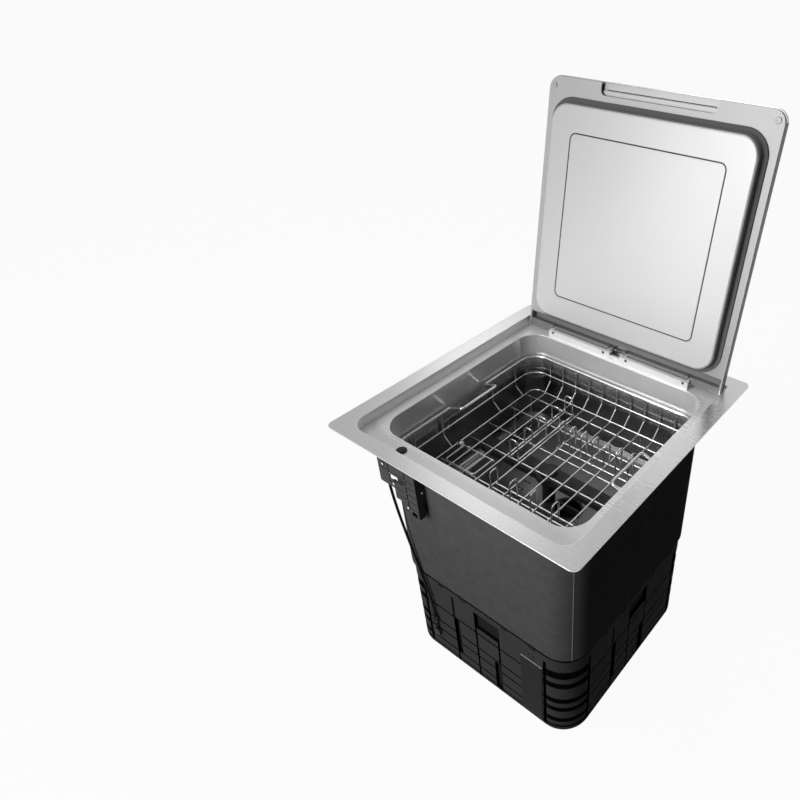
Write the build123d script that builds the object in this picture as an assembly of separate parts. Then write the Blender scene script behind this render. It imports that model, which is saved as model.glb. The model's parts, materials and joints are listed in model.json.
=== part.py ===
"""Sink dishwasher: a drop-in tub with a hinged lid, a lift-out basket and its works below.

Millimetres, +Z up. The origin is on the floor, under the middle of the top flange.
-Y is the front, where the lid opens, and +Y is the hinge side. The lid stands open.
"""
from build123d import *
import os
from math import cos, hypot, pi, radians, sin, tan

os.makedirs("parts", exist_ok=True)

# Tub, deck and flange, built from the tub outwards
height = 505.0              # floor to the top of the flange
tub_w = 360.0               # inside, across
tub_d = 360.0               # inside, front to back
tub_r = 38.0                # inside corner
tub_depth = 185.0           # deck to the tub's floor
tub_floor_r = 16.0          # turn from wall to floor
tub_sheet = 1.0
tub_lip = 9.0               # turned-out lip under the deck
ledge_side = 18.2           # deck beside the opening
ledge_front = 35.2
ledge_back = 30.5
recess_r = 24.0             # front corners
recess_back_r = 4.0
recess_depth = 17.5         # flange top to deck top
rim_side = 26.8             # flange beside the recess
rim_front = 23.3
rim_back = 26.0
flange_r = 11.0
sheet = 1.5                 # flange and deck

# Wrap around the tub, and the base under it
wrap_gap = 0.5
wrap_t = 3.5
wrap_r = 48.0
seam_angle = 50.0           # seam on the front right corner, turned from the front
seam_w = 0.9
base_height = 202.0
base_inset = 2.0            # base stands in from the wrap
base_r = 50.0
neck_h = 6.0                # shadow line under the wrap
collar_h = 10.0             # collar of the base, standing up inside the wrap
collar_fit = 0.1
base_collar_t = 3.0
base_wall = 8.0
base_deck_t = 4.0
base_deck_w = 26.0
base_seat_gap = 0.3
fin_depth = 6.0             # grooves round the corners
fin_slant = 1.8
fin_run = 4.0               # grooves run on past the corner
fin_grooves = [(146.0, 165.5), (119.5, 134.5), (77.5, 91.5), (53.5, 66.5), (22.5, 35.5), (6.5, 13.0)]
line_w = 2.6                # thin grooves on the flat faces
line_depth = 3.0
line_levels = [127.0, 84.5, 60.0, 29.0, 9.0]
column_pitch = 51.0
column_offset = -14.0
column_w = 3.4
column_depth = 4.5
column_top = 180.5
end_column_w = 6.0          # slots between each face and its corner fins
column_sill = 4.0           # left whole under the slots
pocket_depth = 6.0
slot_l = 14.0
slot_h = 3.4
slot_z = 190.5
slot_depth = 4.0
panel_w = 44.0
panel_h = 147.5
panel_z = 10.0
panel_t = 3.0
panel_seat = 1.6
panel_in = 74.0             # middle of the panel, in from the tub's right wall
pan_t = 2.5
pan_gap = 0.3

# Lid, described lying closed
lid_t = 13.0
lid_gap = 3.5               # lid's inner face above the deck
lid_gap_side = 3.8
lid_gap_front = 2.9
lid_gap_back = 1.5
lid_r = 20.0                # free corners
lid_back_r = 2.5
lid_sheet = 1.0
skirt_h = 9.0
frame_gap = 0.2
frame_plate = 2.5
frame_wall = 3.0
plug_drop = 16.0
plug_gap_side = 6.5
plug_gap_front = 4.5
plug_gap_back = 7.5
plug_r = 29.0
plug_wall = 2.0
plug_round = 3.0
panel_line_inset = 39.5     # groove on the plug's face
panel_line_w = 2.2
panel_line_depth = 1.0
panel_line_r = 11.0
gasket_foot = 9.0
gasket_foot_t = 2.6
gasket_sleeve = 1.2
gasket_sleeve_h = 12.0
bumper_r = 4.2
bumper_h = 1.5
bumper_inset_x = 10.7
bumper_inset_y = 14.6
grip_half = 97.0            # finger recess at the free edge
grip_depth = 19.0
grip_r = 8.0
grip_step_h = 5.0
grip_floor_h = 8.0
grip_step_w = 6.5

# Hinge
hinge_back = 7.6            # axis in from the lid's rear edge
hinge_up = 8.2              # axis above the lid's inner face
open_angle = 99.3
shaft_r = 2.0
shaft_fit = 0.05
lug_r = 3.3
lug_t = 2.5
lug_gap = 0.6
rail_in = 39.0              # end of each rail, in from the tub's side wall
rail_gap_half = 10.0        # gap between the two rails
rail_setback = 3.5          # rail behind the opening
rail_sheet = 1.5
rail_h = 13.7
rail_top_w = 6.9
channel_w = 13.5            # channel in the lid that swallows the rail
bar_w = 13.5
bar_roof = 0.7
bar_lip = 1.3
bar_edge = 0.8
screw_head_r = 2.6
screw_head_h = 0.9
spring_wire_r = 0.45
spring_turns = 12
spring_pitch = 1.35
spring_clear = 0.08

# Door switch in the front ledge
switch_in = 69.2            # button's axis, in from the tub's left wall
switch_front = 17.2         # button's axis behind the recess wall
button_r = 5.2
button_fit = 0.08
button_travel = 2.0
button_proud = 2.5
button_l = 12.0
bezel_r = 8.0
bezel_t = 1.2
bezel_tube = 1.4
button_flange_r = 5.9
button_flange_t = 1.0
switch_size = (16.0, 16.0, 16.0)
switch_pocket_r = 6.1

# Basket
basket_gap = 2.2
rim_drop = 44.5             # rim wire's axis below the deck
rim_wire = 2.6
wire = 1.5
upright = 1.4               # wires of the basket's walls
tine = 1.35
prong = 1.2
weld = 0.25                 # wires bite into each other at their welds
mid_drop = 33.0             # rim axis to the middle ring
bend_drop = 47.0            # rim axis to where the side wires bend in
low_drop = 63.0             # rim axis to the low ring
low_inset = 17.0
wire_pitch = 29.3
wires_across = 10
side_wires = (-125.0, -62.0, 62.0, 125.0)
cross_outer = 138.0
cross_inner = 90.0
cross_wires = (-cross_outer, -cross_inner, -18.0, 30.0, cross_inner, cross_outer)
handle_half = 42.0
handle_in = 30.0
handle_rise = 11.0
bend_r = 6.0
foot_in_x = 8.0
foot_clear = 0.3

# Tine rows: place of the row, its ends, loop pitch and loop height, from the tub's centre
tine_gauge = 17.0
bowl_row = dict(at=-58.6, start=-22.0, stop=138.0, pitch=38.0, high=38.0)
plate_row = dict(at=52.0, start=-16.0, stop=146.0, pitch=22.5, high=50.0)
cup_row = dict(at=-92.0, start=-40.0, stop=146.0, pitch=40.0, high=36.0)
rack_in = 37.0              # folding rack, in from the tub's left wall
rack_w = 63.0
rack_y = -48.0
rack_reach = 45.0
rack_prongs = 5
eye_fit = 0.08
eye_wire = 1.1
ball_r = 5.4
ball_out = 7.5              # ball's centre beyond the rack's end wire

# Spray arm, filters and sump
arm_gap = 8.0               # under the basket's floor
arm_t = 12.0
arm_r = 148.0
arm_w = 34.0
arm_hub_r = 21.0
arm_wall = 2.0
jet_r = 1.6
jet_count = 7
post_r = 11.0
post_bore = 8.0
post_fit = 0.08
post_above = 6.0            # bearing above the arm's underside
collar_r = 16.0
collar_t = 3.0
collar_gap = 0.3
cap_r = 15.0
cap_h = 5.0
sump_r = 66.0
sump_wall = 2.0
sump_depth = 50.0
sump_flange = 16.0
tray_inset = 22.0           # filter tray, in from the tub's wall
tray_t = 2.0
tray_hole_r = 2.2
filter_x = 40.0
filter_r = 23.5
filter_h = 34.0
filter_wall = 1.4
filter_gap = 0.3
filter_grip_h = 7.0
filter_brim = 3.0
filter_brim_t = 1.2
suction_x = -38.0
suction_r = 16.0
heater_ring = 58.0
heater_r = 4.0
heater_drop = 40.0
heater_half_gap = 20.0

# Pumps and water parts in the base
volute_r = 50.0
volute_h = 34.0
volute_wall = 4.0
motor_r = 42.0
motor_h = 98.0
mount_h = 9.0
rotor_r = 33.0
rotor_h = 16.0
rotor_shaft_r = 4.0
rotor_fit = 0.05
drain_spigot_r = 14.0
drain_spigot_l = 7.0
drain_r = 27.0
drain_l = 19.0
drain_wall = 2.5
drain_motor_r = 21.0
drain_motor_l = 44.0
drain_shaft_r = 2.0
drain_drop = 30.0
pipe_r = 9.5
pipe_bore = 7.0
pipe_bend = 24.0
port_out = 20.0             # ports stand out from the back
port_z = 70.0
drain_port_in = 88.0        # drain port, in from the tub's right wall
inlet_in = 80.0             # inlet, in from the tub's left wall
inlet_r = 13.2
inlet_neck_r = 12.4         # inlet where it passes through the base's wall
inlet_stand = 1.0           # thread starts clear of the wall
inlet_bore = 8.0
inlet_flange_r = 21.0
port_clear = 0.4
valve_size = (44.0, 46.0, 40.0)
gland_x = 0.0
gland_r = 8.0
gland_bore = 3.75
gland_nut_r = 12.0
gland_nut_t = 6.0
control_size = (62.0, 110.0, 112.0)
control_wall = 2.0
control_cover_t = 2.0
board_t = 1.6
board_gap = 8.0
float_in = 70.0             # in from the tub's left wall
float_y = 90.0
float_r = 18.0
float_h = 15.0
float_pin_r = 4.0
float_fit = 0.08
float_lift = 8.0
float_rest = 0.2
float_switch_size = (26.0, 14.0, 12.0)

# Air break on the front, its hose and the hose's clip and port
break_in = 12.0             # its left edge, in from the tub's left wall
break_steps = [(31.0, 101.0), (26.0, 121.5), (22.0, 143.5)]   # width of each step, drop below the flange
break_top = 48.0
break_t = 17.6
break_shell = 13.0          # the right-hand box stands off the wrap
break_plate = 3.4           # the stepped plate to the left of the box
bracket_drop = 110.0
bracket_w = 19.0
cell_pitch = 13.7
cell_first = 70.0
cell_line = 1.3
cell_line_depth = 1.0
slit_w = 2.2
slit_depth = 2.6
slits = [(23.0, 57.0, 94.0), (58.0, 58.0, 139.0)]   # in from the left edge, then top and bottom drops
window_in = 24.7            # window's left side, in from the left edge
window_w = 28.8
window_h = 10.0
window_drop = 75.0
window_edge = 1.2           # plate left round the window
window_relief = 8.0         # thinned plate behind it, to the left and below
break_screws = [(11.6, 62.5), (30.6, 92.7), (56.3, 127.6)]    # in from the left edge, drop
break_side_screw = (5.5, 93.0)                      # out from the wrap, drop
break_feet = (0, 2)         # screws whose bosses reach the wrap
break_boss_r = 5.6
break_screw_r = 2.2
hose_r = 2.25
hose_clear = 0.4
hose_seat = 0.15
spigot_r = 4.2              # spigot that the hose meets, behind the plate
spigot_h = 5.0
hose_exit_in = 6.0          # in from the air break's left edge
hose_route = [(6.0, 354.0), (45.0, 178.0), (57.0, 120.0)]   # its turns: in from that edge, level
hose_end_z = 62.0
clip_z = 90.0
clip_size = (11.0, 7.5, 13.0)
hose_port_size = (12.0, 7.0, 16.0)

# Levels and edges worked out from the sizes above
deck_z = height - recess_depth
tub_floor_z = deck_z - tub_depth
flange_w = tub_w + 2 * (ledge_side + rim_side)
flange_d = tub_d + ledge_front + ledge_back + rim_front + rim_back
recess_x = tub_w / 2 + ledge_side
recess_y0 = -flange_d / 2 + rim_front
recess_y1 = flange_d / 2 - rim_back
tub_y0 = recess_y0 + ledge_front
tub_y1 = recess_y1 - ledge_back
tub_y = (tub_y0 + tub_y1) / 2
panel_x = tub_w / 2 - panel_in
switch_x = -tub_w / 2 + switch_in
rail_half = tub_w / 2 - rail_in
rack_x0 = -tub_w / 2 + rack_in
rack_x1 = rack_x0 + rack_w
float_x = -tub_w / 2 + float_in
drain_port_x = tub_w / 2 - drain_port_in
inlet_x = -tub_w / 2 + inlet_in
break_x0 = -tub_w / 2 + break_in
window_x = break_x0 + window_in
hose_exit_x = break_x0 + hose_exit_in
wrap_out = tub_sheet + wrap_gap + wrap_t
base_out = wrap_out - base_inset
base_x = tub_w / 2 + base_out
base_y0 = tub_y0 - base_out
base_y1 = tub_y1 + base_out
front_y = tub_y0 - wrap_out


def block(x0, x1, y0, y1, z0, z1):
    """A plain box between two corners."""
    return Pos((x0 + x1) / 2, (y0 + y1) / 2, (z0 + z1) / 2) * Box(x1 - x0, y1 - y0, z1 - z0)


def slab(x0, x1, y0, y1, r, z0, z1):
    """An upright plate or prism with round corners."""
    outline = RectangleRounded(x1 - x0, y1 - y0, r)
    return Pos((x0 + x1) / 2, (y0 + y1) / 2, z0) * extrude(outline, z1 - z0)


def lid_slab(x, y0, y1, front_r, back_r, z0, z1):
    """A prism across the middle with its own radius for the front and the back corners."""
    outline = Pos(0, (y0 + y1) / 2) * Rectangle(2 * x, y1 - y0)
    corners = outline.vertices().sort_by(Axis.Y)
    outline = fillet(corners[:2], front_r)
    outline = fillet(outline.vertices().sort_by(Axis.Y)[-2:], back_r)
    return Pos(0, 0, z0) * extrude(outline, z1 - z0)


def tub_slab(out, z0, z1):
    """A prism that follows the tub's inside, grown outwards by out."""
    return slab(-tub_w / 2 - out, tub_w / 2 + out, tub_y0 - out, tub_y1 + out, tub_r + out, z0, z1)


def rod(x, y, z0, z1, r):
    """An upright cylinder from z0 to z1."""
    return Pos(x, y, z0) * extrude(Circle(r), z1 - z0)


def tube(x, y, z0, z1, r, bore):
    """An upright tube."""
    return rod(x, y, z0, z1, r) - rod(x, y, z0 - 1, z1 + 1, bore)


def rod_x(x0, x1, y, z, r):
    """A cylinder along X."""
    return Pos(x0, y, z) * Rot(0, 90, 0) * extrude(Circle(r), x1 - x0)


def rod_y(x, y0, y1, z, r):
    """A cylinder along Y."""
    return Pos(x, y0, z) * Rot(-90, 0, 0) * extrude(Circle(r), y1 - y0)


def bent(points, r, bends, bore=0.0):
    """A round wire, or a pipe with a bore, along straight runs joined by tangent arcs."""
    path = FilletPolyline(*points, radius=bends) if len(points) > 2 else Line(*points)
    start = Plane(origin=path @ 0, z_dir=path % 0)
    solid = sweep(start * Circle(r), path=path)
    return solid - sweep(start * Circle(bore), path=path) if bore else solid


def ring_wire(inset, z, r):
    """A closed wire that follows the tub's wall at one level."""
    path = Pos(0, tub_y, z) * RectangleRounded(tub_w - 2 * inset, tub_d - 2 * inset, tub_r - inset).wire()
    return sweep(Plane(origin=path @ 0, z_dir=path % 0) * Circle(r), path=path)


def joined(shapes):
    """One solid from pieces that bite into each other."""
    first, *rest = shapes
    return first.fuse(*rest) if rest else first


parts = {}


# Top flange: rim, recess walls and deck pressed from one sheet
def make_top_flange():
    half_d = flange_d / 2
    rim = slab(-flange_w / 2, flange_w / 2, -half_d, half_d, flange_r, height - sheet, height)
    cup = lid_slab(recess_x + sheet, recess_y0 - sheet, recess_y1 + sheet,
                   recess_r + sheet, recess_back_r + sheet, deck_z - sheet, height)
    hollow = lid_slab(recess_x, recess_y0, recess_y1, recess_r, recess_back_r, deck_z, height + 1)
    shell = rim + cup - hollow
    shell -= tub_slab(0, deck_z - sheet - 1, deck_z + 1)
    shell -= rod(switch_x, switch_y, deck_z - sheet - 1, deck_z + 1,
                 button_r + button_fit + bezel_tube + 0.3)
    top_edges = [e for e in shell.edges() if abs(e.center().Z - height) < 0.01
                 and abs(e.center().X) < recess_x + 1 and recess_y0 - 1 < e.center().Y < recess_y1 + 1]
    shell = fillet(top_edges, 0.9)
    mouth = [e for e in shell.edges() if abs(e.center().Z - deck_z) < 0.01
             and abs(e.center().X) < tub_w / 2 + 0.1 and tub_y0 - 0.1 < e.center().Y < tub_y1 + 0.1]
    return fillet(mouth, 0.9)


# Tub: drawn sheet with a round floor edge, hung by its lip under the deck
def make_tub():
    top = deck_z - sheet
    outer = tub_slab(tub_sheet, tub_floor_z - tub_sheet, top)
    outer = fillet(outer.faces().sort_by(Axis.Z)[0].edges(), tub_floor_r + tub_sheet)
    inner = tub_slab(0, tub_floor_z, top)
    inner = fillet(inner.faces().sort_by(Axis.Z)[0].edges(), tub_floor_r)
    lip = tub_slab(tub_lip, top - tub_sheet, top)
    mouth = tub_slab(0, top - tub_sheet - 1, top + 1)
    return outer + lip - inner - mouth - rod(0, tub_y, tub_floor_z - 5, tub_floor_z + 1, sump_r)


# Wrap: sound-deadening jacket round the tub, closed at one seam
def make_tub_wrap():
    z0 = base_height + base_seat_gap
    z1 = deck_z - sheet - tub_sheet
    half = tub_w / 2 + wrap_out
    jacket = slab(-half, half, tub_y0 - wrap_out, tub_y1 + wrap_out, wrap_r, z0, z1)
    jacket -= tub_slab(tub_sheet + wrap_gap, z0 - 1, z1 + 1)
    turn = Pos(half - wrap_r, front_y + wrap_r, 0) * Rot(0, 0, seam_angle - 90)
    seam = turn * block(wrap_r - 1.0, wrap_r + wrap_out, -seam_w / 2, seam_w / 2, z0 - 1, z1 + 1)
    return jacket - seam


# Base shell: finned corners, flat faces scored into panels, and pockets
def corner_groove(z0, z1):
    """One fin groove round the front right corner, running on along both flats."""
    profile = make_face(Polyline((base_r + 1, z0), (base_r + 1, z1), (base_r, z1),
                                 (base_r - fin_depth, z1 - fin_slant),
                                 (base_r - fin_depth, z0 + fin_slant), (base_r, z0), close=True))
    upright = Rot(90, 0, 0) * profile
    turn = revolve(upright, Axis.Z, -90)
    side = extrude(upright, fin_run, dir=(0, 1, 0))
    front = Rot(0, 0, -90) * extrude(upright, fin_run, dir=(0, -1, 0))
    return Pos(base_x - base_r, base_y0 + base_r, 0) * (turn + side + front)


def face_cuts(half, panel):
    """Cuts for one flat face, in a frame where the face is at y 0 and looks along -Y."""
    edge = half - base_r - fin_run
    cuts = [block(-edge, edge, -1, line_depth, z - line_w / 2, z + line_w / 2) for z in line_levels]
    columns = [column_offset + column_pitch * k for k in (-1, 0, 1)]
    end_x = edge + 0.6 + end_column_w / 2
    for x, w in [(x, column_w) for x in columns] + [(-end_x, end_column_w), (end_x, end_column_w)]:
        cuts.append(block(x - w / 2, x + w / 2, -1, column_depth, column_sill, column_top))
    left, middle, right = columns
    upper = column_top - 0.22 * column_top
    cuts.append(block(middle, right, -1, pocket_depth, upper, column_top))
    cuts.append(block(left, left + column_pitch / 4.5, -1, pocket_depth, line_levels[-2], line_levels[0]))
    cuts.append(block(right - column_pitch / 4, right, -1, pocket_depth, 4.0, line_levels[1] - 4))
    for x in (left - column_pitch / 2, middle - column_pitch / 2, middle + 1.3 * column_pitch,
              right + 1.4 * column_pitch):
        cuts.append(block(x - slot_l / 2, x + slot_l / 2, -1, slot_depth,
                          slot_z - slot_h / 2, slot_z + slot_h / 2))
    if panel:
        cuts.append(block(panel_x - panel_w / 2 - pan_gap, panel_x + panel_w / 2 + pan_gap, -1, panel_seat,
                          panel_z - pan_gap, panel_z + panel_h + pan_gap))
        seal = Pos(panel_x, 1.0, panel_z + panel_h + 12) * Rot(90, 0, 0)
        cuts.append(seal * extrude(Circle(6.0) - Circle(5.0), 3))
    return cuts


def make_base_shell():
    shoulder = base_height - neck_h
    shell = slab(-base_x, base_x, base_y0, base_y1, base_r, 0, shoulder)
    w = base_wall
    shell -= slab(-base_x + w, base_x - w, base_y0 + w, base_y1 - w, base_r - w, -1, shoulder - base_deck_t)
    o = base_deck_w
    shell -= slab(-base_x + o, base_x - o, base_y0 + o, base_y1 - o, base_r - o, 0, base_height)
    grow = tub_sheet + wrap_gap - collar_fit
    top = base_height + collar_h
    collar = tub_slab(grow, shoulder - 1, top)
    shell += collar - tub_slab(grow - base_collar_t, shoulder - 2, top + 1)
    cuts = []
    for z0, z1 in fin_grooves:
        right = corner_groove(z0, z1)
        left = mirror(right, Plane.YZ)
        back = Plane(origin=(0, tub_y, 0), z_dir=(0, 1, 0))
        cuts += [right, left, mirror(right, back), mirror(left, back)]
    half_x, half_y = base_x, (base_y1 - base_y0) / 2
    faces = [(0, half_x, half_y, True), (90, half_y, half_x, False),
             (180, half_x, half_y, False), (270, half_y, half_x, False)]
    for angle, half, reach, panel in faces:
        place = Pos(0, tub_y, 0) * Rot(0, 0, angle) * Pos(0, -reach, 0)
        cuts += [place * c for c in face_cuts(half, panel)]
    y = base_y1 - w - 1
    cuts.append(rod_y(drain_port_x, y, base_y1 + 1, port_z, pipe_r + port_clear))
    cuts.append(rod_y(inlet_x, y, base_y1 + 1, port_z, inlet_r + port_clear))
    cuts.append(rod_y(gland_x, y, base_y1 + 1, port_z, gland_r + 0.1))
    return shell - cuts


def make_base_pan():
    w = base_wall + pan_gap
    pan = slab(-base_x + w, base_x - w, base_y0 + w, base_y1 - w, base_r - w, 0, pan_t)
    pan += tube(suction_x, tub_y, pan_t, mount_z, motor_r - 3, motor_r - 13)
    pan += rod(float_x, float_y, pan_t, float_pin_top, float_pin_r)
    return pan


def make_service_panel():
    y = base_y0 + panel_seat
    plate = block(panel_x - panel_w / 2, panel_x + panel_w / 2, y - panel_t, y, panel_z, panel_z + panel_h)
    return chamfer(plate.faces().sort_by(Axis.Y)[0].edges(), 0.6)


# Levels that the pieces inside share
switch_y = recess_y0 + switch_front
rim_z = deck_z - rim_drop
low_z = rim_z - low_drop
floor_wire_z = low_z - 2 * wire + weld
cross_wire_z = floor_wire_z - 2 * wire + weld
arm_z1 = cross_wire_z - wire - arm_gap
arm_z0 = arm_z1 - arm_t
sump_z1 = tub_floor_z - tub_sheet
sump_z0 = sump_z1 - sump_depth
drain_z = sump_z1 - drain_drop
volute_z0 = sump_z0 - volute_h
motor_z0 = volute_z0 - motor_h
mount_z = motor_z0 - mount_h
float_z0 = pan_t + float_rest
float_pin_top = float_z0 + float_h + float_lift + 4


# Door switch: black button in a bezel, with the switch under it
def make_door_switch():
    bore = button_r + button_fit
    z = deck_z
    bezel = tube(switch_x, switch_y, z, z + bezel_t, bezel_r, bore)
    bezel += tube(switch_x, switch_y, z - button_l, z + bezel_t, bore + bezel_tube, bore)
    top = z - button_l
    button = rod(switch_x, switch_y, top - button_flange_t, z + button_proud, button_r)
    button = fillet(button.faces().sort_by(Axis.Z)[-1].edges(), 0.8)
    button += rod(switch_x, switch_y, top - button_flange_t, top, button_flange_r)
    sx, sy, sz = switch_size
    body = block(switch_x - sx / 2, switch_x + sx / 2, switch_y - sy / 2, switch_y + sy / 2, top - sz, top)
    body -= rod(switch_x, switch_y, top - button_flange_t - button_travel - 0.4, top + 1, switch_pocket_r)
    parts["switch_bezel"] = bezel
    parts["door_button"] = button
    parts["door_switch"] = body


# Lid, made lying closed and then swung open about the hinge axis
lid_z = deck_z + lid_gap
lid_x = recess_x - lid_gap_side
lid_y0 = recess_y0 + lid_gap_front
lid_y1 = recess_y1 - lid_gap_back
hinge_y = lid_y1 - hinge_back
hinge_z = lid_z + hinge_up
roof_z = lid_z + lid_t - lid_sheet
frame_x = lid_x - lid_sheet - frame_gap
frame_y0 = lid_y0 + lid_sheet + frame_gap
frame_y1 = lid_y1 - lid_sheet - frame_gap
frame_r = lid_r - lid_sheet - frame_gap
frame_back_r = lid_back_r - lid_sheet - frame_gap
channel_y1 = lid_y1 - bar_w
channel_y0 = channel_y1 - channel_w
bar_y0 = channel_y0 - bar_lip
plug_x = tub_w / 2 - plug_gap_side
plug_y0 = tub_y0 + plug_gap_front
plug_y1 = tub_y1 - plug_gap_back
bar_half = frame_x - frame_wall - pan_gap
shaft_half = rail_half - 1
spring_half = spring_turns * spring_pitch / 2 + 1
lug_places = [-rail_half + 4, -rail_gap_half - 7, rail_gap_half + 7, rail_half - 4]
swing = Pos(0, hinge_y, hinge_z) * Rot(-open_angle, 0, 0) * Pos(0, -hinge_y, -hinge_z)


def lug_slots(top):
    """Slots that let the rail's lugs stand in the lid's rear edge."""
    half = lug_t / 2 + lug_gap
    return [block(x - half, x + half, channel_y1 - 1, lid_y1 + 1, lid_z - 1, top) for x in lug_places]


def make_lid():
    # Outer panel with a folded skirt
    lid_top = roof_z + lid_sheet
    panel = lid_slab(lid_x, lid_y0, lid_y1, lid_r, lid_back_r, lid_top - skirt_h, lid_top)
    panel = fillet(panel.faces().sort_by(Axis.Z)[-1].edges(), 2.4)
    s = lid_sheet
    panel -= lid_slab(lid_x - s, lid_y0 + s, lid_y1 - s, lid_r - s, lid_back_r - s, lid_z - 1, roof_z)
    parts["lid_outer_panel"] = panel - lug_slots(roof_z)

    # Inner frame: plate with walls up to the panel, open at the back for the hinge bar
    frame = lid_slab(frame_x, frame_y0, frame_y1, frame_r, frame_back_r, lid_z, roof_z)
    w = frame_wall
    frame -= slab(-frame_x + w, frame_x - w, frame_y0 + w, frame_y1 - w, frame_r - w,
                  lid_z + frame_plate, roof_z + 1)
    frame -= slab(-plug_x + 6, plug_x - 6, plug_y0 + 6, plug_y1 - 6, plug_r - 6, lid_z - 1, lid_z + 5)
    frame -= block(-bar_half - pan_gap, bar_half + pan_gap, bar_y0 - pan_gap, lid_y1 + 1,
                   lid_z - 1, roof_z + 1)
    frame -= slab(-grip_half, grip_half, frame_y0 - 20, frame_y0 + grip_depth - s, grip_r,
                  lid_z - 1, roof_z + 1)
    parts["lid_frame"] = frame

    # Stepped insert that closes the finger recess
    g = pan_gap
    insert = slab(-grip_half + g, grip_half - g, frame_y0 - 20, frame_y0 + grip_depth - s - g, grip_r - g,
                  lid_z + grip_step_h, roof_z)
    insert -= block(-flange_w, flange_w, -flange_d, frame_y0 + g, 0, height)
    step_y = frame_y0 + grip_depth - s - grip_step_w
    insert -= block(-flange_w, flange_w, -flange_d, step_y, 0, lid_z + grip_floor_h)
    insert -= block(-grip_half + 6, grip_half - 6, step_y - 2.0, step_y - 0.8,
                    0, lid_z + grip_floor_h + 1.4)
    parts["lid_grip_insert"] = insert

    # Plug that drops into the tub, with its scored line
    plug = slab(-plug_x, plug_x, plug_y0, plug_y1, plug_r, lid_z - plug_drop, lid_z)
    plug = fillet(plug.faces().sort_by(Axis.Z)[0].edges(), plug_round)
    t = plug_wall
    plug -= slab(-plug_x + t, plug_x - t, plug_y0 + t, plug_y1 - t, plug_r - t,
                 lid_z - plug_drop + t, lid_z + 1)
    i = panel_line_inset
    j = i + panel_line_w
    z0 = lid_z - plug_drop
    line = slab(-plug_x + i, plug_x - i, plug_y0 + i, plug_y1 - i, panel_line_r,
                z0 - 1, z0 + panel_line_depth)
    line -= slab(-plug_x + j, plug_x - j, plug_y0 + j, plug_y1 - j, panel_line_r - panel_line_w,
                 z0 - 2, z0 + panel_line_depth + 1)
    parts["lid_plug"] = plug - line

    # Gasket: sleeve on the plug's side and a foot that meets the deck
    def around(out, z0, z1):
        return slab(-plug_x - out, plug_x + out, plug_y0 - out, plug_y1 + out, plug_r + out, z0, z1)
    foot = around(gasket_foot, lid_z - gasket_foot_t, lid_z)
    foot = fillet(foot.faces().sort_by(Axis.Z)[0].edges(), 1.1)
    gasket = foot + around(gasket_sleeve, lid_z - gasket_sleeve_h, lid_z)
    parts["lid_gasket"] = gasket - around(0, lid_z - plug_drop - 1, lid_z + 1)

    # Hinge bar: block round the shaft and a channel over the rail
    bar = block(-bar_half, bar_half, bar_y0, frame_y1, lid_z, roof_z)
    bar = chamfer(bar.faces().sort_by(Axis.Z)[0].edges(), bar_edge)
    bar -= block(-bar_half + 1.5, bar_half - 1.5, channel_y0, channel_y1, lid_z - 1, roof_z - bar_roof)
    bar -= rod_x(-shaft_half - 1, shaft_half + 1, hinge_y, hinge_z, shaft_r + shaft_fit)
    bar -= block(-spring_half - 1.5, spring_half + 1.5, channel_y1 - 1, lid_y1, lid_z - 1, roof_z)
    parts["lid_hinge_bar"] = bar - lug_slots(roof_z)

    # Round bumpers at the free corners
    bumpers = []
    for side in (-1, 1):
        x, y = side * (lid_x - bumper_inset_x), lid_y0 + bumper_inset_y
        button = rod(x, y, lid_z - bumper_h, lid_z, bumper_r)
        button = chamfer(button.faces().sort_by(Axis.Z)[0].edges(), 0.5)
        bumpers.append(button - rod(x, y, lid_z - bumper_h - 1, lid_z - bumper_h + 0.6, bumper_r * 0.5))
    parts["lid_bumpers"] = Compound(bumpers)

    for name in ("lid_outer_panel", "lid_frame", "lid_grip_insert", "lid_plug", "lid_gasket",
                 "lid_hinge_bar", "lid_bumpers"):
        parts[name] = swing * parts[name]


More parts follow.
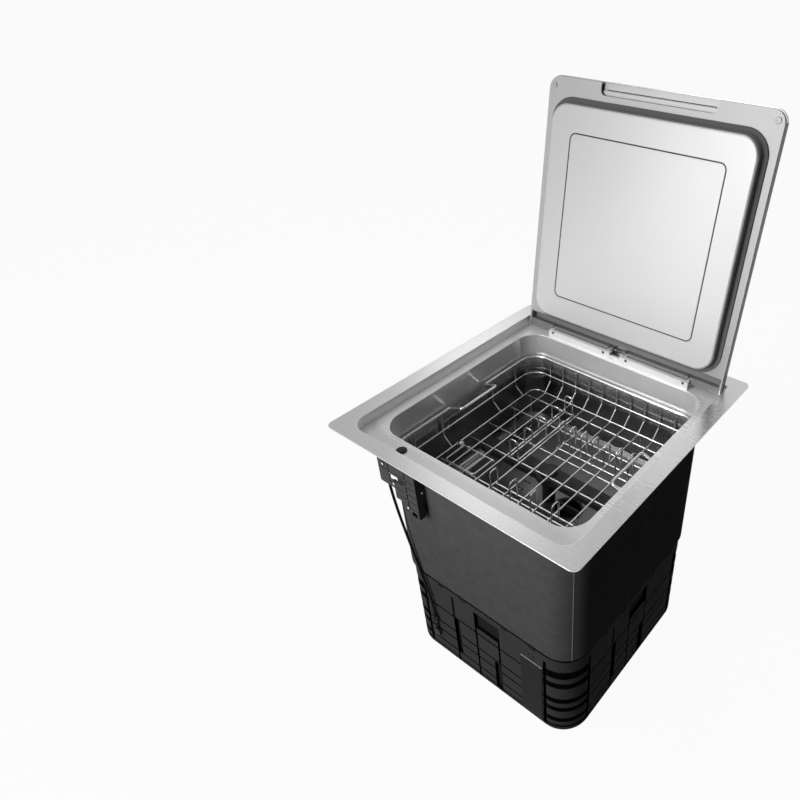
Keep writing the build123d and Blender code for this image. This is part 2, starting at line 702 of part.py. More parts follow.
# Hinge on the deck: two folded rails with lugs, the shaft, a small torsion spring and a latch
def make_hinge():
    y0 = tub_y1 + rail_setback
    y1 = y0 + rail_sheet
    top = deck_z + rail_h
    for name, x0, x1, lugs in (("hinge_rail_left", -rail_half, -rail_gap_half, lug_places[:2]),
                               ("hinge_rail_right", rail_gap_half, rail_half, lug_places[2:])):
        rail = block(x0, x1, y0, y1, deck_z, top)
        rail += block(x0, x1, y0, y0 + rail_top_w, top - rail_sheet, top)
        rail += block(x0 + 6, x1 - 6, y1 - 0.1, y0 + rail_top_w - 0.5, deck_z, deck_z + rail_sheet)
        for x in lugs:
            side = make_face(Polyline((y1 - 0.5, deck_z), (hinge_y, deck_z), (hinge_y + lug_r, hinge_z),
                                      (hinge_y, hinge_z + lug_r), (y1 - 0.5, top - 0.2), close=True))
            side += Pos(hinge_y, hinge_z) * Circle(lug_r)
            side -= Pos(hinge_y, hinge_z) * Circle(shaft_r + 0.02)
            rail += Pos(x - lug_t / 2, 0, 0) * extrude(Plane.YZ * side, lug_t)
        # A score line along the front web
        score_z = deck_z + 0.45 * rail_h
        rail -= block(x0 - 1, x1 + 1, y0 - 1, y0 + 0.5, score_z, score_z + 0.9)
        parts[name] = rail
    screws = []
    for x in (-rail_half + 9, -rail_gap_half - 13, rail_gap_half + 13, rail_half - 9):
        z = deck_z + 0.75 * rail_h
        head = rod_y(x, y0 - screw_head_h, y0, z, screw_head_r)
        slot = block(x - screw_head_r, x + screw_head_r, y0 - screw_head_h - 1, y0 - screw_head_h + 0.4,
                     z - 0.4, z + 0.4)
        screws.append(head - slot)
    parts["rail_screws"] = Compound(screws)
    parts["hinge_shaft"] = rod_x(-shaft_half, shaft_half, hinge_y, hinge_z, shaft_r)

    latch = block(-rail_gap_half + 0.6, rail_gap_half - 0.6, y0 + 0.3, y0 + 6.5,
                  deck_z, deck_z + 0.62 * rail_h)
    latch -= block(-rail_gap_half + 3.5, rail_gap_half - 3.5, y0 - 1, y0 + 3, deck_z + 2.2, deck_z + 5.2)
    parts["centre_latch"] = chamfer(latch.edges().filter_by(Axis.X).sort_by(Axis.Z)[-2:], 0.8)


def make_spring():
    """Torsion spring: half turns of a helix, each a tangent biarc, round the shaft."""
    mean = shaft_r + spring_clear + spring_wire_r
    start = -spring_turns * spring_pitch / 2
    steps = spring_turns * 2
    nodes = [Vector(start + k * spring_pitch / 2, mean * cos(pi * k), mean * sin(pi * k))
             for k in range(steps + 1)]
    rise = spring_pitch / (2 * pi * mean)
    edges = []
    for k in range(steps):
        a, b = nodes[k], nodes[k + 1]
        ta = Vector(rise, -sin(pi * k), cos(pi * k)).normalized()
        tb = Vector(rise, -sin(pi * (k + 1)), cos(pi * (k + 1))).normalized()
        # Equal-length biarc: the joint lies midway between the two control points
        v = b - a
        t = ta + tb
        c = 2 * (1 - ta.dot(tb))
        d = (-v.dot(t) + (v.dot(t) ** 2 + c * v.dot(v)) ** 0.5) / c
        joint = (a + ta * d + b - tb * d) * 0.5
        edges.append(Edge.make_tangent_arc(a, ta, joint))
        edges.append(Edge.make_tangent_arc(joint, edges[-1] % 1, b))
    path = Pos(0, hinge_y, hinge_z) * Wire(edges)
    coil = sweep(Plane(origin=path @ 0, z_dir=path % 0) * Circle(spring_wire_r), path=path)
    gap = spring_pitch - 2 * spring_wire_r
    print(f"spring gap between turns {gap:.2f} mm, mean radius {mean:.2f} mm")
    parts["hinge_spring"] = coil


# Basket of welded wire
rim_inset = basket_gap + rim_wire
basket_x = tub_w / 2 - rim_inset
basket_y0 = tub_y0 + rim_inset
basket_y1 = tub_y1 - rim_inset
low_x = basket_x - low_inset
low_y0 = basket_y0 + low_inset
low_y1 = basket_y1 - low_inset
across = [wire_pitch * (k - (wires_across - 1) / 2) for k in range(wires_across)]


def make_basket():
    y0, y1 = tub_y - handle_half, tub_y + handle_half
    inner = basket_x - handle_in
    up = rim_z + handle_rise
    corner = tub_r - rim_inset
    half = bent([(0, basket_y0, rim_z), (basket_x, basket_y0, rim_z), (basket_x, y0, rim_z),
                 (inner, y0, up), (inner, y1, up), (basket_x, y1, rim_z),
                 (basket_x, basket_y1, rim_z), (0, basket_y1, rim_z)],
                rim_wire, [corner, bend_r, bend_r, bend_r, bend_r, corner])
    parts["basket_rim"] = joined([half, mirror(half, Plane.YZ)])

    top = rim_z - rim_wire + weld
    mid_z = rim_z - mid_drop
    bend_z = rim_z - bend_drop
    parts["basket_rings"] = Compound([ring_wire(rim_inset + upright + wire - weld, mid_z, wire),
                                      ring_wire(rim_inset + low_inset, low_z, wire)])
    # The uprights run down the wall, bend in and end on the low ring
    slant = hypot(low_inset, bend_z - low_z)
    short = (wire - weld) / slant
    foot_in = low_inset * (1 - short)
    foot_z = low_z + (bend_z - low_z) * short
    walls = []
    for x in across:
        for wall, inward in ((basket_y0, 1), (basket_y1, -1)):
            walls.append([(x, wall, top), (x, wall, bend_z), (x, wall + inward * foot_in, foot_z)])
    for y in side_wires:
        for side in (-1, 1):
            x = side * basket_x
            walls.append([(x, tub_y + y, top), (x, tub_y + y, bend_z),
                          (x - side * foot_in, tub_y + y, foot_z)])
    parts["basket_walls"] = Compound([bent(points, upright, [bend_r]) for points in walls])

    floor = [rod_y(x, low_y0 - wire, low_y1 + wire, floor_wire_z, wire) for x in across]
    reach = low_x + wire
    floor += [rod_x(-reach, reach, tub_y + y, cross_wire_z, wire) for y in cross_wires]
    parts["basket_floor"] = joined(floor)

    feet = []
    x = low_x - foot_in_x
    bottom = tub_floor_z + wire + foot_clear
    head = cross_wire_z - wire + 2 * weld
    for sx in (-1, 1):
        for sy in (-1, 1):
            near, far = tub_y + sy * cross_inner, tub_y + sy * cross_outer
            feet.append(bent([(sx * x, near, head), (sx * x, near, bottom), (sx * x, far, bottom),
                              (sx * x, far, head)], wire, [bend_r, bend_r]))
    parts["basket_feet"] = Compound(feet)


def loop_along_y(x, y, z0, high, gauge):
    """A tine loop whose legs stand at x - gauge / 2 and x + gauge / 2."""
    a, b = x - gauge / 2, x + gauge / 2
    return bent([(a, y, z0), (a, y, z0 + high), (b, y, z0 + high), (b, y, z0)], tine, [bend_r, bend_r])


def tine_row(row, base_z):
    """Two base wires along Y with upright loops between them, about the row's own line."""
    a, b = row["at"] - tine_gauge / 2, row["at"] + tine_gauge / 2
    count = int((row["stop"] - row["start"] - 8) // row["pitch"]) + 1
    row_parts = [rod_y(x, row["start"], row["stop"], base_z, wire) for x in (a, b)]
    first = row["start"] + 4
    loops = [loop_along_y(row["at"], first + k * row["pitch"], base_z, row["high"], tine_gauge)
             for k in range(count)]
    return row_parts + loops


def make_tines():
    # The bowl row runs along Y. Its base wires lie on the floor's lower wires, beside the upper ones
    bowl = [Pos(0, tub_y, 0) * s for s in tine_row(bowl_row, floor_wire_z)]
    parts["bowl_tines"] = joined(bowl)
    # The other rows run along X, on top of the upper wires
    turn = Pos(0, tub_y, 0) * Rot(0, 0, -90)
    for name, row in (("plate_tines", plate_row), ("cup_tines", cup_row)):
        turned = dict(row, at=-row["at"])
        parts[name] = joined([turn * s for s in tine_row(turned, floor_wire_z + 2 * wire - weld)])


def make_fold_rack():
    eye_r = wire + eye_fit + eye_wire
    axle_z = floor_wire_z + wire + eye_r + eye_wire - weld
    y = tub_y + rack_y
    end = rack_x0 - ball_out
    axle = rod_x(end, rack_x1 + 3, y, axle_z, wire)
    span = rack_x1 - rack_x0
    rack = [axle]
    far = y - rack_reach
    rack.append(bent([(rack_x0, y, axle_z), (rack_x0, far, axle_z), (rack_x1, far, axle_z),
                      (rack_x1, y, axle_z)], tine, [bend_r, bend_r]))
    for k in range(1, rack_prongs - 1):
        x = rack_x0 + span * k / (rack_prongs - 1)
        rack.append(rod_y(x, far, y, axle_z, prong))
    parts["fold_rack"] = joined(rack)
    ball = Pos(end, y, axle_z) * Sphere(ball_r)
    parts["rack_ball"] = ball - rod_x(end, end + 2 * ball_r, y, axle_z, wire)
    eyes = []
    for x in (across[0], across[1]):
        eyes.append(Pos(x, y, axle_z) * Rot(0, 90, 0) * Torus(eye_r, eye_wire))
    parts["rack_eyes"] = Compound(eyes)


# Spray arm on its bearing post, filter tray, filter, sump and heater
def make_wash_parts():
    post_z1 = arm_z0 + post_above
    floor = sump_z0 + sump_wall
    post = tube(0, tub_y, floor, post_z1, post_r, post_bore)
    post += tube(0, tub_y, arm_z0 - collar_gap - collar_t, arm_z0 - collar_gap, collar_r, post_bore)
    post += tube(0, tub_y, floor, floor + 3, collar_r, post_bore)
    parts["bearing_post"] = post

    blade = SlotOverall(2 * arm_r, arm_w)
    solid = Pos(0, tub_y, arm_z0) * extrude(blade, arm_t)
    solid = fillet(solid.faces().sort_by(Axis.Z)[-1].edges(), 4.0)
    solid = fillet(solid.faces().sort_by(Axis.Z)[0].edges(), 3.0)
    solid += rod(0, tub_y, arm_z0, arm_z1, arm_hub_r)
    w = arm_wall
    channel = SlotOverall(2 * (arm_r - w), arm_w - 2 * w - 4)
    solid -= Pos(0, tub_y, arm_z0 + w) * extrude(channel, arm_t - 2 * w - 1)
    solid += rod(0, tub_y, arm_z0, arm_z1 - w, post_r + 5)
    solid -= rod(0, tub_y, arm_z0 - 1, post_z1 + 0.5, post_r + post_fit)
    solid -= rod(0, tub_y, arm_z0 + w + 3, arm_z1 - w - 1, post_r - 2)
    for k in range(jet_count):
        reach = arm_hub_r + 12 + k * (arm_r - arm_hub_r - 24) / (jet_count - 1)
        for side in (-1, 1):
            offset = side * 5 * (-1) ** k
            solid -= Pos(side * reach, tub_y + offset, arm_z1 - 6) * extrude(Circle(jet_r), 8)
    parts["spray_arm"] = solid
    cap = rod(0, tub_y, arm_z1, arm_z1 + cap_h, cap_r)
    cap = fillet(cap.faces().sort_by(Axis.Z)[-1].edges(), 2.0)
    for k in range(6):
        a = radians(60 * k)
        reach = 1.12 * cap_r
        cap -= rod(reach * cos(a), tub_y + reach * sin(a), arm_z1 - 1, arm_z1 + cap_h + 1, 4.0)
    parts["arm_cap"] = cap

    # Filter tray over the tub's floor
    i = tray_inset
    low, high = tub_floor_z - 1, tub_floor_z + tray_t + 1
    tray = slab(-tub_w / 2 + i, tub_w / 2 - i, tub_y0 + i, tub_y1 - i, max(tub_r - i, 8),
                tub_floor_z, tub_floor_z + tray_t)
    holes = [rod(0, tub_y, low, high, post_r + 0.4), rod(filter_x, tub_y, low, high, filter_r + filter_gap)]
    for ring, count in ((52.0, 16), (60.0, 20)):
        for k in range(count):
            a = 2 * pi * (k + 0.5) / count
            x, y = ring * cos(a), ring * sin(a)
            if hypot(x - filter_x, y) > filter_r + 6:
                holes.append(rod(x, tub_y + y, low, high, tray_hole_r))
    notch = (cross_outer - cross_inner) / 2 + 8
    for sx in (-1, 1):
        for sy in (-1, 1):
            x = sx * (low_x - foot_in_x)
            y = tub_y + sy * (cross_outer + cross_inner) / 2
            holes.append(block(x - 6, x + 6, y - notch, y + notch, low, high))
    parts["filter_tray"] = tray - holes

    # Lift-out filter with a bar grip
    z1 = tub_floor_z + tray_t
    z0 = z1 - filter_h
    can = rod(filter_x, tub_y, z0, z1, filter_r)
    can -= rod(filter_x, tub_y, z0 + 2, z1 + 1, filter_r - filter_wall)
    windows = []
    for k in range(12):
        spin = Pos(filter_x, tub_y, 0) * Rot(0, 0, 30 * k)
        windows.append(spin * block(filter_r - 4, filter_r + 1, -1.8, 1.8, z0 + 5, z1 - 6))
    can -= windows
    can += tube(filter_x, tub_y, z1, z1 + filter_brim_t, filter_r + filter_brim, filter_r - filter_wall)
    can += block(filter_x - filter_r + 1, filter_x + filter_r - 1, tub_y - 2, tub_y + 2,
                 z1 - 6, z1 + filter_grip_h)
    parts["coarse_filter"] = can

    # Sump cup under the tub
    cup = rod(0, tub_y, sump_z0, sump_z1, sump_r + sump_wall)
    cup += rod(0, tub_y, sump_z1 - sump_wall, sump_z1, sump_r + sump_flange)
    cup -= rod(0, tub_y, sump_z0 + sump_wall, sump_z1 + 1, sump_r)
    spigot_x = sump_r + sump_wall + drain_spigot_l
    cup += rod_x(sump_r - 2, spigot_x, tub_y, drain_z, drain_spigot_r) \
        - rod(0, tub_y, sump_z0, sump_z1, sump_r)
    cup -= rod_x(sump_r - 10, spigot_x + 1, tub_y, drain_z, drain_spigot_r - 4)
    cup -= rod(suction_x, tub_y, sump_z0 - 1, sump_z0 + 5, suction_r)
    cup -= rod(0, tub_y, sump_z0 - 1, sump_z0 + 5, post_bore)
    a = radians(heater_half_gap)
    for side in (-1, 1):
        cup -= rod(heater_ring * cos(a), tub_y + side * heater_ring * sin(a), sump_z0 - 1, sump_z0 + 5,
                   heater_r + 0.2)
    parts["sump"] = cup

    # Heater: open ring with two legs through the cup's floor
    z = sump_z1 - heater_drop
    legs = z - sump_z0 + 6
    start = 360 - 2 * heater_half_gap
    ring = Pos(0, tub_y, z) * CenterArc((0, 0, 0), heater_ring, heater_half_gap, start)
    heater = sweep(Plane(origin=ring @ 0, z_dir=ring % 0) * Circle(heater_r), path=ring)
    for side in (-1, 1):
        x, y = heater_ring * cos(a), tub_y + side * heater_ring * sin(a)
        heater = heater + Pos(x, y, z) * Sphere(heater_r) + rod(x, y, z - legs, z, heater_r)
    parts["heater"] = heater


# Wash pump under the sump, standing on the pan
def make_wash_pump():
    x, y = suction_x, tub_y
    z0, z1 = volute_z0, sump_z0
    w = volute_wall
    volute = rod(x, y, z0, z1, volute_r) - rod(x, y, z0 + w, z1 - w, volute_r - w)
    volute -= rod(x, y, z1 - w - 1, z1 + 1, suction_r)
    volute -= rod(0, y, z1 - w - 1, z1 + 1, post_bore)
    volute -= rod(x, y, z0 - 1, z0 + w + 1, rotor_shaft_r + 1)
    parts["pump_volute"] = volute
    motor = rod(x, y, motor_z0, z0, motor_r)
    motor = fillet(motor.faces().sort_by(Axis.Z)[0].edges(), 3.0)
    motor -= rod(x, y, motor_z0 + 20, z0 + 1, rotor_shaft_r + rotor_fit)
    for k in range(18):
        spin = Pos(x, y, 0) * Rot(0, 0, 20 * k)
        motor -= spin * block(motor_r - 2.5, motor_r + 1, -1.5, 1.5, motor_z0 + 14, z0 - 14)
    parts["wash_motor"] = motor
    parts["motor_mount"] = tube(x, y, mount_z, motor_z0, motor_r - 4, motor_r - 15)
    low = z0 + w + 2
    rotor = rod(x, y, low, low + 3, rotor_r) + rod(x, y, motor_z0 + 21, low + rotor_h, rotor_shaft_r)
    rotor += rod(x, y, low, low + rotor_h, 9.0)
    for k in range(6):
        spin = Pos(x, y, 0) * Rot(0, 0, 60 * k)
        rotor += spin * block(6, rotor_r - 1, -1.2, 1.2, low, low + rotor_h)
    parts["wash_rotor"] = rotor


# Drain pump on the sump's spigot, and the pipe to the outlet
def make_drain_pump():
    y, z = tub_y, drain_z
    x0 = sump_r + sump_wall + drain_spigot_l
    x1 = x0 + drain_l
    x2 = x1 + drain_motor_l
    w = drain_wall
    pump = rod_x(x0, x1, y, z, drain_r) - rod_x(x0 + w, x1 - w, y, z, drain_r - w)
    pump += rod_x(x1, x2, y, z, drain_motor_r)
    pump -= rod_x(x0 - 1, x0 + w + 1, y, z, drain_spigot_r - 4)
    pump -= rod_x(x1 - w - 1, x2 - 10, y, z, drain_shaft_r + rotor_fit)
    outlet_x = (x0 + x1) / 2
    spout = rod_y(outlet_x, y + drain_r - 4, y + drain_r + 8, z, pipe_bore - 0.3)
    spout -= rod_x(x0, x1, y, z, drain_r - w)
    pump += spout
    pump -= rod_y(outlet_x, y + drain_r - 12, y + drain_r + 9, z, pipe_bore - 2.5)
    parts["drain_pump"] = pump
    low = x0 + w + 1.5
    high = x1 - w - 1.5
    rotor = rod_x(low, x2 - 11, y, z, drain_shaft_r) + rod_x(low, high, y, z, 5.0)
    for k in range(4):
        blade = block(low, high, -0.9, 0.9, 3, drain_r - w - 3)
        rotor += Pos(0, y, z) * Rot(90 * k, 0, 0) * blade
    parts["drain_rotor"] = rotor

    start = y + drain_r + 0.3
    mid = base_y1 - base_wall - 30
    pipe = bent([(outlet_x, start, z), (outlet_x, mid, z), (drain_port_x, mid, port_z),
                 (drain_port_x, base_y1 + port_out, port_z)], pipe_r, [pipe_bend, pipe_bend], pipe_bore)
    for k in range(3):
        barb = base_y1 + port_out - 5 - 4.5 * k
        pipe += rod_y(drain_port_x, barb - 1.2, barb, port_z, pipe_r + 0.7) \
            - rod_y(drain_port_x, barb - 2, barb + 1, port_z, pipe_bore)
    parts["drain_pipe"] = pipe


def make_inlets():
    wall = base_y1 - base_wall
    sx, sy, sz = valve_size
    valve = block(inlet_x - sx / 2, inlet_x + sx / 2, wall - 3 - sy, wall - 3,
                  port_z - sz / 2, port_z + sz / 2)
    valve += rod_y(inlet_x, wall - 3, wall, port_z, inlet_flange_r)
    valve += rod_y(inlet_x, wall, base_y1 + inlet_stand, port_z, inlet_neck_r)
    valve += rod_y(inlet_x, base_y1 + inlet_stand, base_y1 + port_out, port_z, inlet_r)
    valve += rod(inlet_x, wall - 3 - sy / 2, port_z + sz / 2, port_z + sz / 2 + 26, 13)
    valve -= rod_y(inlet_x, wall - 20, base_y1 + port_out + 1, port_z, inlet_bore)
    valve += block(inlet_x - 8, inlet_x + 8, wall - 3 - sy + 6, wall - 3 - 6, pan_t, port_z - sz / 2)
    parts["inlet_valve"] = valve
    nut = Plane.XZ * RegularPolygon(gland_nut_r, 6)
    gland = Pos(gland_x, base_y1 + gland_nut_t, port_z) * extrude(nut, gland_nut_t)
    gland += rod_y(gland_x, wall - 2, base_y1 + gland_nut_t + 8, port_z, gland_r)
    gland += Pos(gland_x, wall, port_z) * extrude(nut, 4)
    gland -= rod_y(gland_x, wall - 10, base_y1 + gland_nut_t + 9, port_z, gland_bore)
    parts["cable_gland"] = gland


def make_controls():
    sx, sy, sz = control_size
    x1 = base_x - base_wall - 4
    x0 = x1 - sx
    y0 = base_y0 + base_wall + 28
    y1 = y0 + sy
    z0, z1 = pan_t, pan_t + sz
    w = control_wall
    box = block(x0, x1, y0, y1, z0, z1) - block(x0 - 1, x1 - w, y0 + w, y1 - w, z0 + w, z1 - w)
    for y in (y0 + 12, y1 - 12):
        for z in (z0 + 12, z1 - 12):
            box += rod_x(x1 - w - board_gap, x1 - w, y, z, 3.0)
    parts["control_box"] = box
    bx = x1 - w - board_gap
    board = block(bx - board_t, bx, y0 + w + 3, y1 - w - 3, z0 + w + 3, z1 - w - 3)
    board += block(bx - board_t - 14, bx - board_t, y0 + 16, y0 + 42, z0 + 16, z0 + 46)
    board += rod_x(bx - board_t - 22, bx - board_t, y1 - 30, z0 + 32, 9)
    board += rod_x(bx - board_t - 18, bx - board_t, y1 - 30, z0 + 60, 6)
    board += block(bx - board_t - 8, bx - board_t, y0 + 18, y1 - 24, z1 - 34, z1 - 22)
    parts["circuit_board"] = board
    cover = block(x0 - control_cover_t, x0, y0, y1, z0, z1)
    parts["control_cover"] = chamfer(cover.faces().sort_by(Axis.X)[0].edges(), 0.8)


def make_float():
    can = tube(float_x, float_y, float_z0, float_z0 + float_h, float_r, float_pin_r + float_fit)
    parts["leak_float"] = can
    sx, sy, sz = float_switch_size
    z = float_pin_top
    body = block(float_x - sx / 2, float_x + sx / 2, float_y - sy / 2, float_y + sy / 2, z, z + sz)
    parts["float_switch"] = body


# Air break on the front: a stepped plate scored into cells, with a window and a deep box at its right
def make_air_break():
    back = front_y
    face = back - break_t
    inner = face + break_shell
    top = height - break_top
    right = break_x0 + sum(width for width, drop in break_steps)
    points = [(right, top), (break_x0, top)]
    columns = []
    x = break_x0
    for width, drop in break_steps:
        points += [(x, height - drop), (x + width, height - drop)]
        columns.append((x, x + width, height - drop))
        x += width
    outline = fillet(make_face(Polyline(*points, close=True)).vertices(), 2.0)
    unit = Pos(0, inner, 0) * extrude(Plane.XZ * outline, break_shell)
    box_x = columns[-1][0]
    lowest = height - break_steps[-1][1]
    unit -= block(break_x0 - 1, box_x, face + break_plate, inner + 1, lowest - 1, top + 1)
    unit += block(right - bracket_w, right, inner - 0.5, back, height - bracket_drop, top)
    for k, (sx, drop) in enumerate(break_screws):
        reach = back if k in break_feet else face + break_plate + 1
        unit += rod_y(break_x0 + sx, face, reach, height - drop, break_boss_r)
    spigot_z = height - break_steps[0][1]
    unit += rod(hose_exit_x, front_y - break_t / 2, spigot_z, spigot_z + spigot_h, spigot_r)
    unit += block(hose_exit_x - spigot_r, hose_exit_x + spigot_r, face + break_plate - 0.5,
                  front_y - break_t / 2, spigot_z, spigot_z + spigot_h)

    window_top = height - window_drop
    cuts = [block(window_x, window_x + window_w, face - 1, back + 1, window_top - window_h, window_top),
            block(window_x - window_relief, min(window_x + window_w, box_x), face + window_edge,
                  face + break_plate + 0.5, window_top - window_h - window_relief, window_top)]
    for x0, x1, low in columns:
        drop = cell_first
        while height - drop > low + 4:
            z = height - drop
            clear = x1 < window_x or x0 > window_x + window_w - 4 or \
                not window_drop - 4 < drop < window_drop + window_h + 4
            if clear:
                cuts.append(block(x0 + 1.8, x1 - 1.8, face - 1, face + cell_line_depth, z - cell_line, z))
            drop += cell_pitch
    for across_x, high, low in slits:
        x = break_x0 + across_x
        drop = high
        while drop < low:
            end = min(drop + cell_pitch - 3, low)
            cuts.append(block(x - slit_w / 2, x + slit_w / 2, face - 1, face + slit_depth,
                              height - end, height - drop))
            drop += cell_pitch
    cuts.append(block(right - 0.7 * break_steps[-1][0], right - 4, face - 1, face + 6,
                      lowest + 3, lowest + 12))
    unit -= cuts
    for sx, drop in break_screws:
        unit += rod_y(break_x0 + sx, face - 0.6, face + 4, height - drop, break_screw_r + 1.6)
    parts["air_break"] = unit

    screws = [rod_y(break_x0 + sx, face - 1.8, face - 0.6, height - drop, break_screw_r)
              for sx, drop in break_screws]
    out, drop = break_side_screw
    screws.append(rod_x(right, right + 1.2, back - out, height - drop, break_screw_r))
    parts["air_break_screws"] = Compound(screws)


# Breather hose from the air break down to a port on the base
def make_hose():
    y = front_y - hose_r - hose_clear
    unit_y = front_y - break_t / 2
    top = height - break_steps[0][1] - hose_seat
    (x1, z1), (x2, z2), (x3, z3) = [(break_x0 + x, z) for x, z in hose_route]
    points = [(hose_exit_x, unit_y, top), (x1, unit_y + 1.5, z1), (x2, y, z2), (x3, y, z3),
              (x3, y, hose_end_z)]
    radii = []
    for a, b, c in zip(points, points[1:], points[2:]):
        u = Vector(*b) - Vector(*a)
        v = Vector(*c) - Vector(*b)
        turn = u.get_angle(v)
        radii.append(0.45 * min(u.length, v.length) / max(tan(radians(turn / 2)), 0.001))
    print("hose radii", [round(r, 1) for r in radii])
    hose = bent(points, hose_r, radii)
    path = FilletPolyline(*points, radius=radii)
    print(f"hose volume {hose.volume:.1f}, section times length {pi * hose_r ** 2 * path.length:.1f}")
    parts["breather_hose"] = hose

    sx, sy, sz = clip_size
    clip = block(x3 - sx / 2, x3 + sx / 2, base_y0 - sy, base_y0, clip_z - sz / 2, clip_z + sz / 2)
    clip -= block(x3 - sx / 2 + 1.8, x3 + sx / 2 - 1.8, base_y0 - sy - 1, base_y0 + 1,
                  clip_z - sz / 2 + 3, clip_z + sz / 2 - 3)
    clip -= rod(x3, y, clip_z - sz, clip_z + sz, hose_r + 0.05)
    clip -= block(x3 - hose_r * 0.8, x3 + hose_r * 0.8, base_y0 - sy - 1, y, clip_z - sz, clip_z + sz)
    parts["hose_clip"] = clip
    sx, sy, sz = hose_port_size
    port = block(x3 - sx / 2, x3 + sx / 2, base_y0 - sy, base_y0, hose_end_z - sz, hose_end_z - 3)
    port += rod(x3, y, hose_end_z - 4, hose_end_z, hose_r + 0.5)
    parts["hose_port"] = port


parts["top_flange"] = make_top_flange()
parts["tub"] = make_tub()
parts["tub_wrap"] = make_tub_wrap()
parts["base_shell"] = make_base_shell()
parts["base_pan"] = make_base_pan()
parts["service_panel"] = make_service_panel()
make_door_switch()
make_lid()
make_hinge()
make_spring()
make_basket()
make_tines()
make_fold_rack()
make_wash_parts()
make_wash_pump()
make_drain_pump()
make_inlets()
make_controls()
make_float()
make_air_break()
make_hose()

for name, shape in parts.items():
    export_step(shape, f"parts/{name}.step")
print(f"{len(parts)} parts; flange {flange_w:.1f} x {flange_d:.1f}; hinge y {hinge_y:.2f} z {hinge_z:.2f}")
print(f"deck {deck_z:.2f}, tub floor {tub_floor_z:.2f}, rim wire {rim_z:.2f}, "
      f"floor wires {floor_wire_z:.2f}, arm {arm_z0:.2f} to {arm_z1:.2f}, motor {motor_z0:.2f}, "
      f"pan mount {mount_z:.2f}")
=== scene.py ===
# %% [markdown]
# # A dishwasher that drops into a sink cut-out
# A bright pressed flange rests on the worktop and carries a drawn steel tub. A charcoal jacket wraps the tub,
# a black base hangs under it with the pumps, and a lid swings up on a hinge at the back. The hard shapes
# come from the imported model and stay where they are. This notebook gives them their finishes, swaps a few
# plain pieces for finer ones, adds a thin dark bead as painted shade and a thin light strip as a painted
# highlight, and sets the camera and the lights.

# %% Load the imported model
import json
import math

import bpy
from mathutils import Matrix, Vector


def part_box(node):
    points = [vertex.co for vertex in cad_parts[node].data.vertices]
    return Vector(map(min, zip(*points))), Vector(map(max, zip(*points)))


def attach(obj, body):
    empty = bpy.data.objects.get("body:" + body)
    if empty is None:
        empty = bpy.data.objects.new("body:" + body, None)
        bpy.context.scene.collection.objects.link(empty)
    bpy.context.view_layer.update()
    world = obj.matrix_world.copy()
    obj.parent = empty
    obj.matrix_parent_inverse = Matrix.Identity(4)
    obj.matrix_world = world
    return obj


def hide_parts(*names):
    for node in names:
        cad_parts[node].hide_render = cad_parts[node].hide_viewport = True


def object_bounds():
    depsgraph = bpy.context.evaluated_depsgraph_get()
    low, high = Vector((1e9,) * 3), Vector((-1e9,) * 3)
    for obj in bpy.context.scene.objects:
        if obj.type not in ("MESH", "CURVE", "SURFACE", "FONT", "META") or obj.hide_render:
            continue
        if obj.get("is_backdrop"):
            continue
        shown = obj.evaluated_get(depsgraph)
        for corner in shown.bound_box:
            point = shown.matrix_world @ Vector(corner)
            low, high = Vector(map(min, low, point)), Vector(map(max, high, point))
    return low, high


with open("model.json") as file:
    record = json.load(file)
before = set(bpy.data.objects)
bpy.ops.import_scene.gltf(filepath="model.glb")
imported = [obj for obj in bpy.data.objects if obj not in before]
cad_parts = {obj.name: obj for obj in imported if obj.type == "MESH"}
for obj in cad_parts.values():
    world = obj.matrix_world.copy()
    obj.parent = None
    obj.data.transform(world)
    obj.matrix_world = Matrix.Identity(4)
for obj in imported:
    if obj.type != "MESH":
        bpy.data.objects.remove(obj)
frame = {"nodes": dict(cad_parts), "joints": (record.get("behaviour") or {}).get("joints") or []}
cad_low, cad_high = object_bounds()
nodes = frame["nodes"]
print(len(nodes), "pieces,", [round(side, 3) for side in cad_high - cad_low], "m across, deep and high")

# %% [markdown]
# ## Camera
# The picture was taken from the front right, looking down at about 36 degrees, with the machine right of the
# middle. A camera could be placed by eye, but then nothing lines up for certain. Here its place, its turn and
# its lens are values found from the corners of the flange and the lid, and the lens shift moves the picture
# sideways without turning the camera.

# %% Camera
picture_width = 800
focal_length = 668.2
sensor_width = 36.0
lens_shift = (-0.205, -0.004)
eye = Vector((0.5087, -0.6444, 1.1079))
azimuth, elevation, roll = (math.radians(angle) for angle in (36.56, 35.68, 0.49))

back = Vector((math.sin(azimuth) * math.cos(elevation), -math.cos(azimuth) * math.cos(elevation),
               math.sin(elevation)))
level = Vector((math.cos(azimuth), math.sin(azimuth), 0))
upright = back.cross(level)
right = math.cos(roll) * level + math.sin(roll) * upright
up = math.cos(roll) * upright - math.sin(roll) * level

camera = bpy.data.objects.new("camera", bpy.data.cameras.new("camera"))
bpy.context.collection.objects.link(camera)
camera.matrix_world = Matrix((right, up, back)).transposed().to_4x4()
camera.location = eye
camera.data.sensor_width = sensor_width
camera.data.lens = focal_length * sensor_width / picture_width
camera.data.shift_x, camera.data.shift_y = lens_shift
bpy.context.scene.camera = camera
print("lens", round(camera.data.lens, 2), "mm")

# %% [markdown]
# ## Shader sums
# A finish is mostly arithmetic on a few patterns: this much grain, minus that much wear. Wiring Math nodes by
# hand hides the sum, so a small class wraps a socket and turns + - and * into Math nodes. One method makes
# every other node, from its settings and the values of its sockets. A Mix node has a set of sockets for each
# kind of value under the same names, so the ones for a colour go by their numbers.

# %% Sums on sockets
mix_factor, mix_low, mix_high, mixed_colour = 0, 6, 7, 2


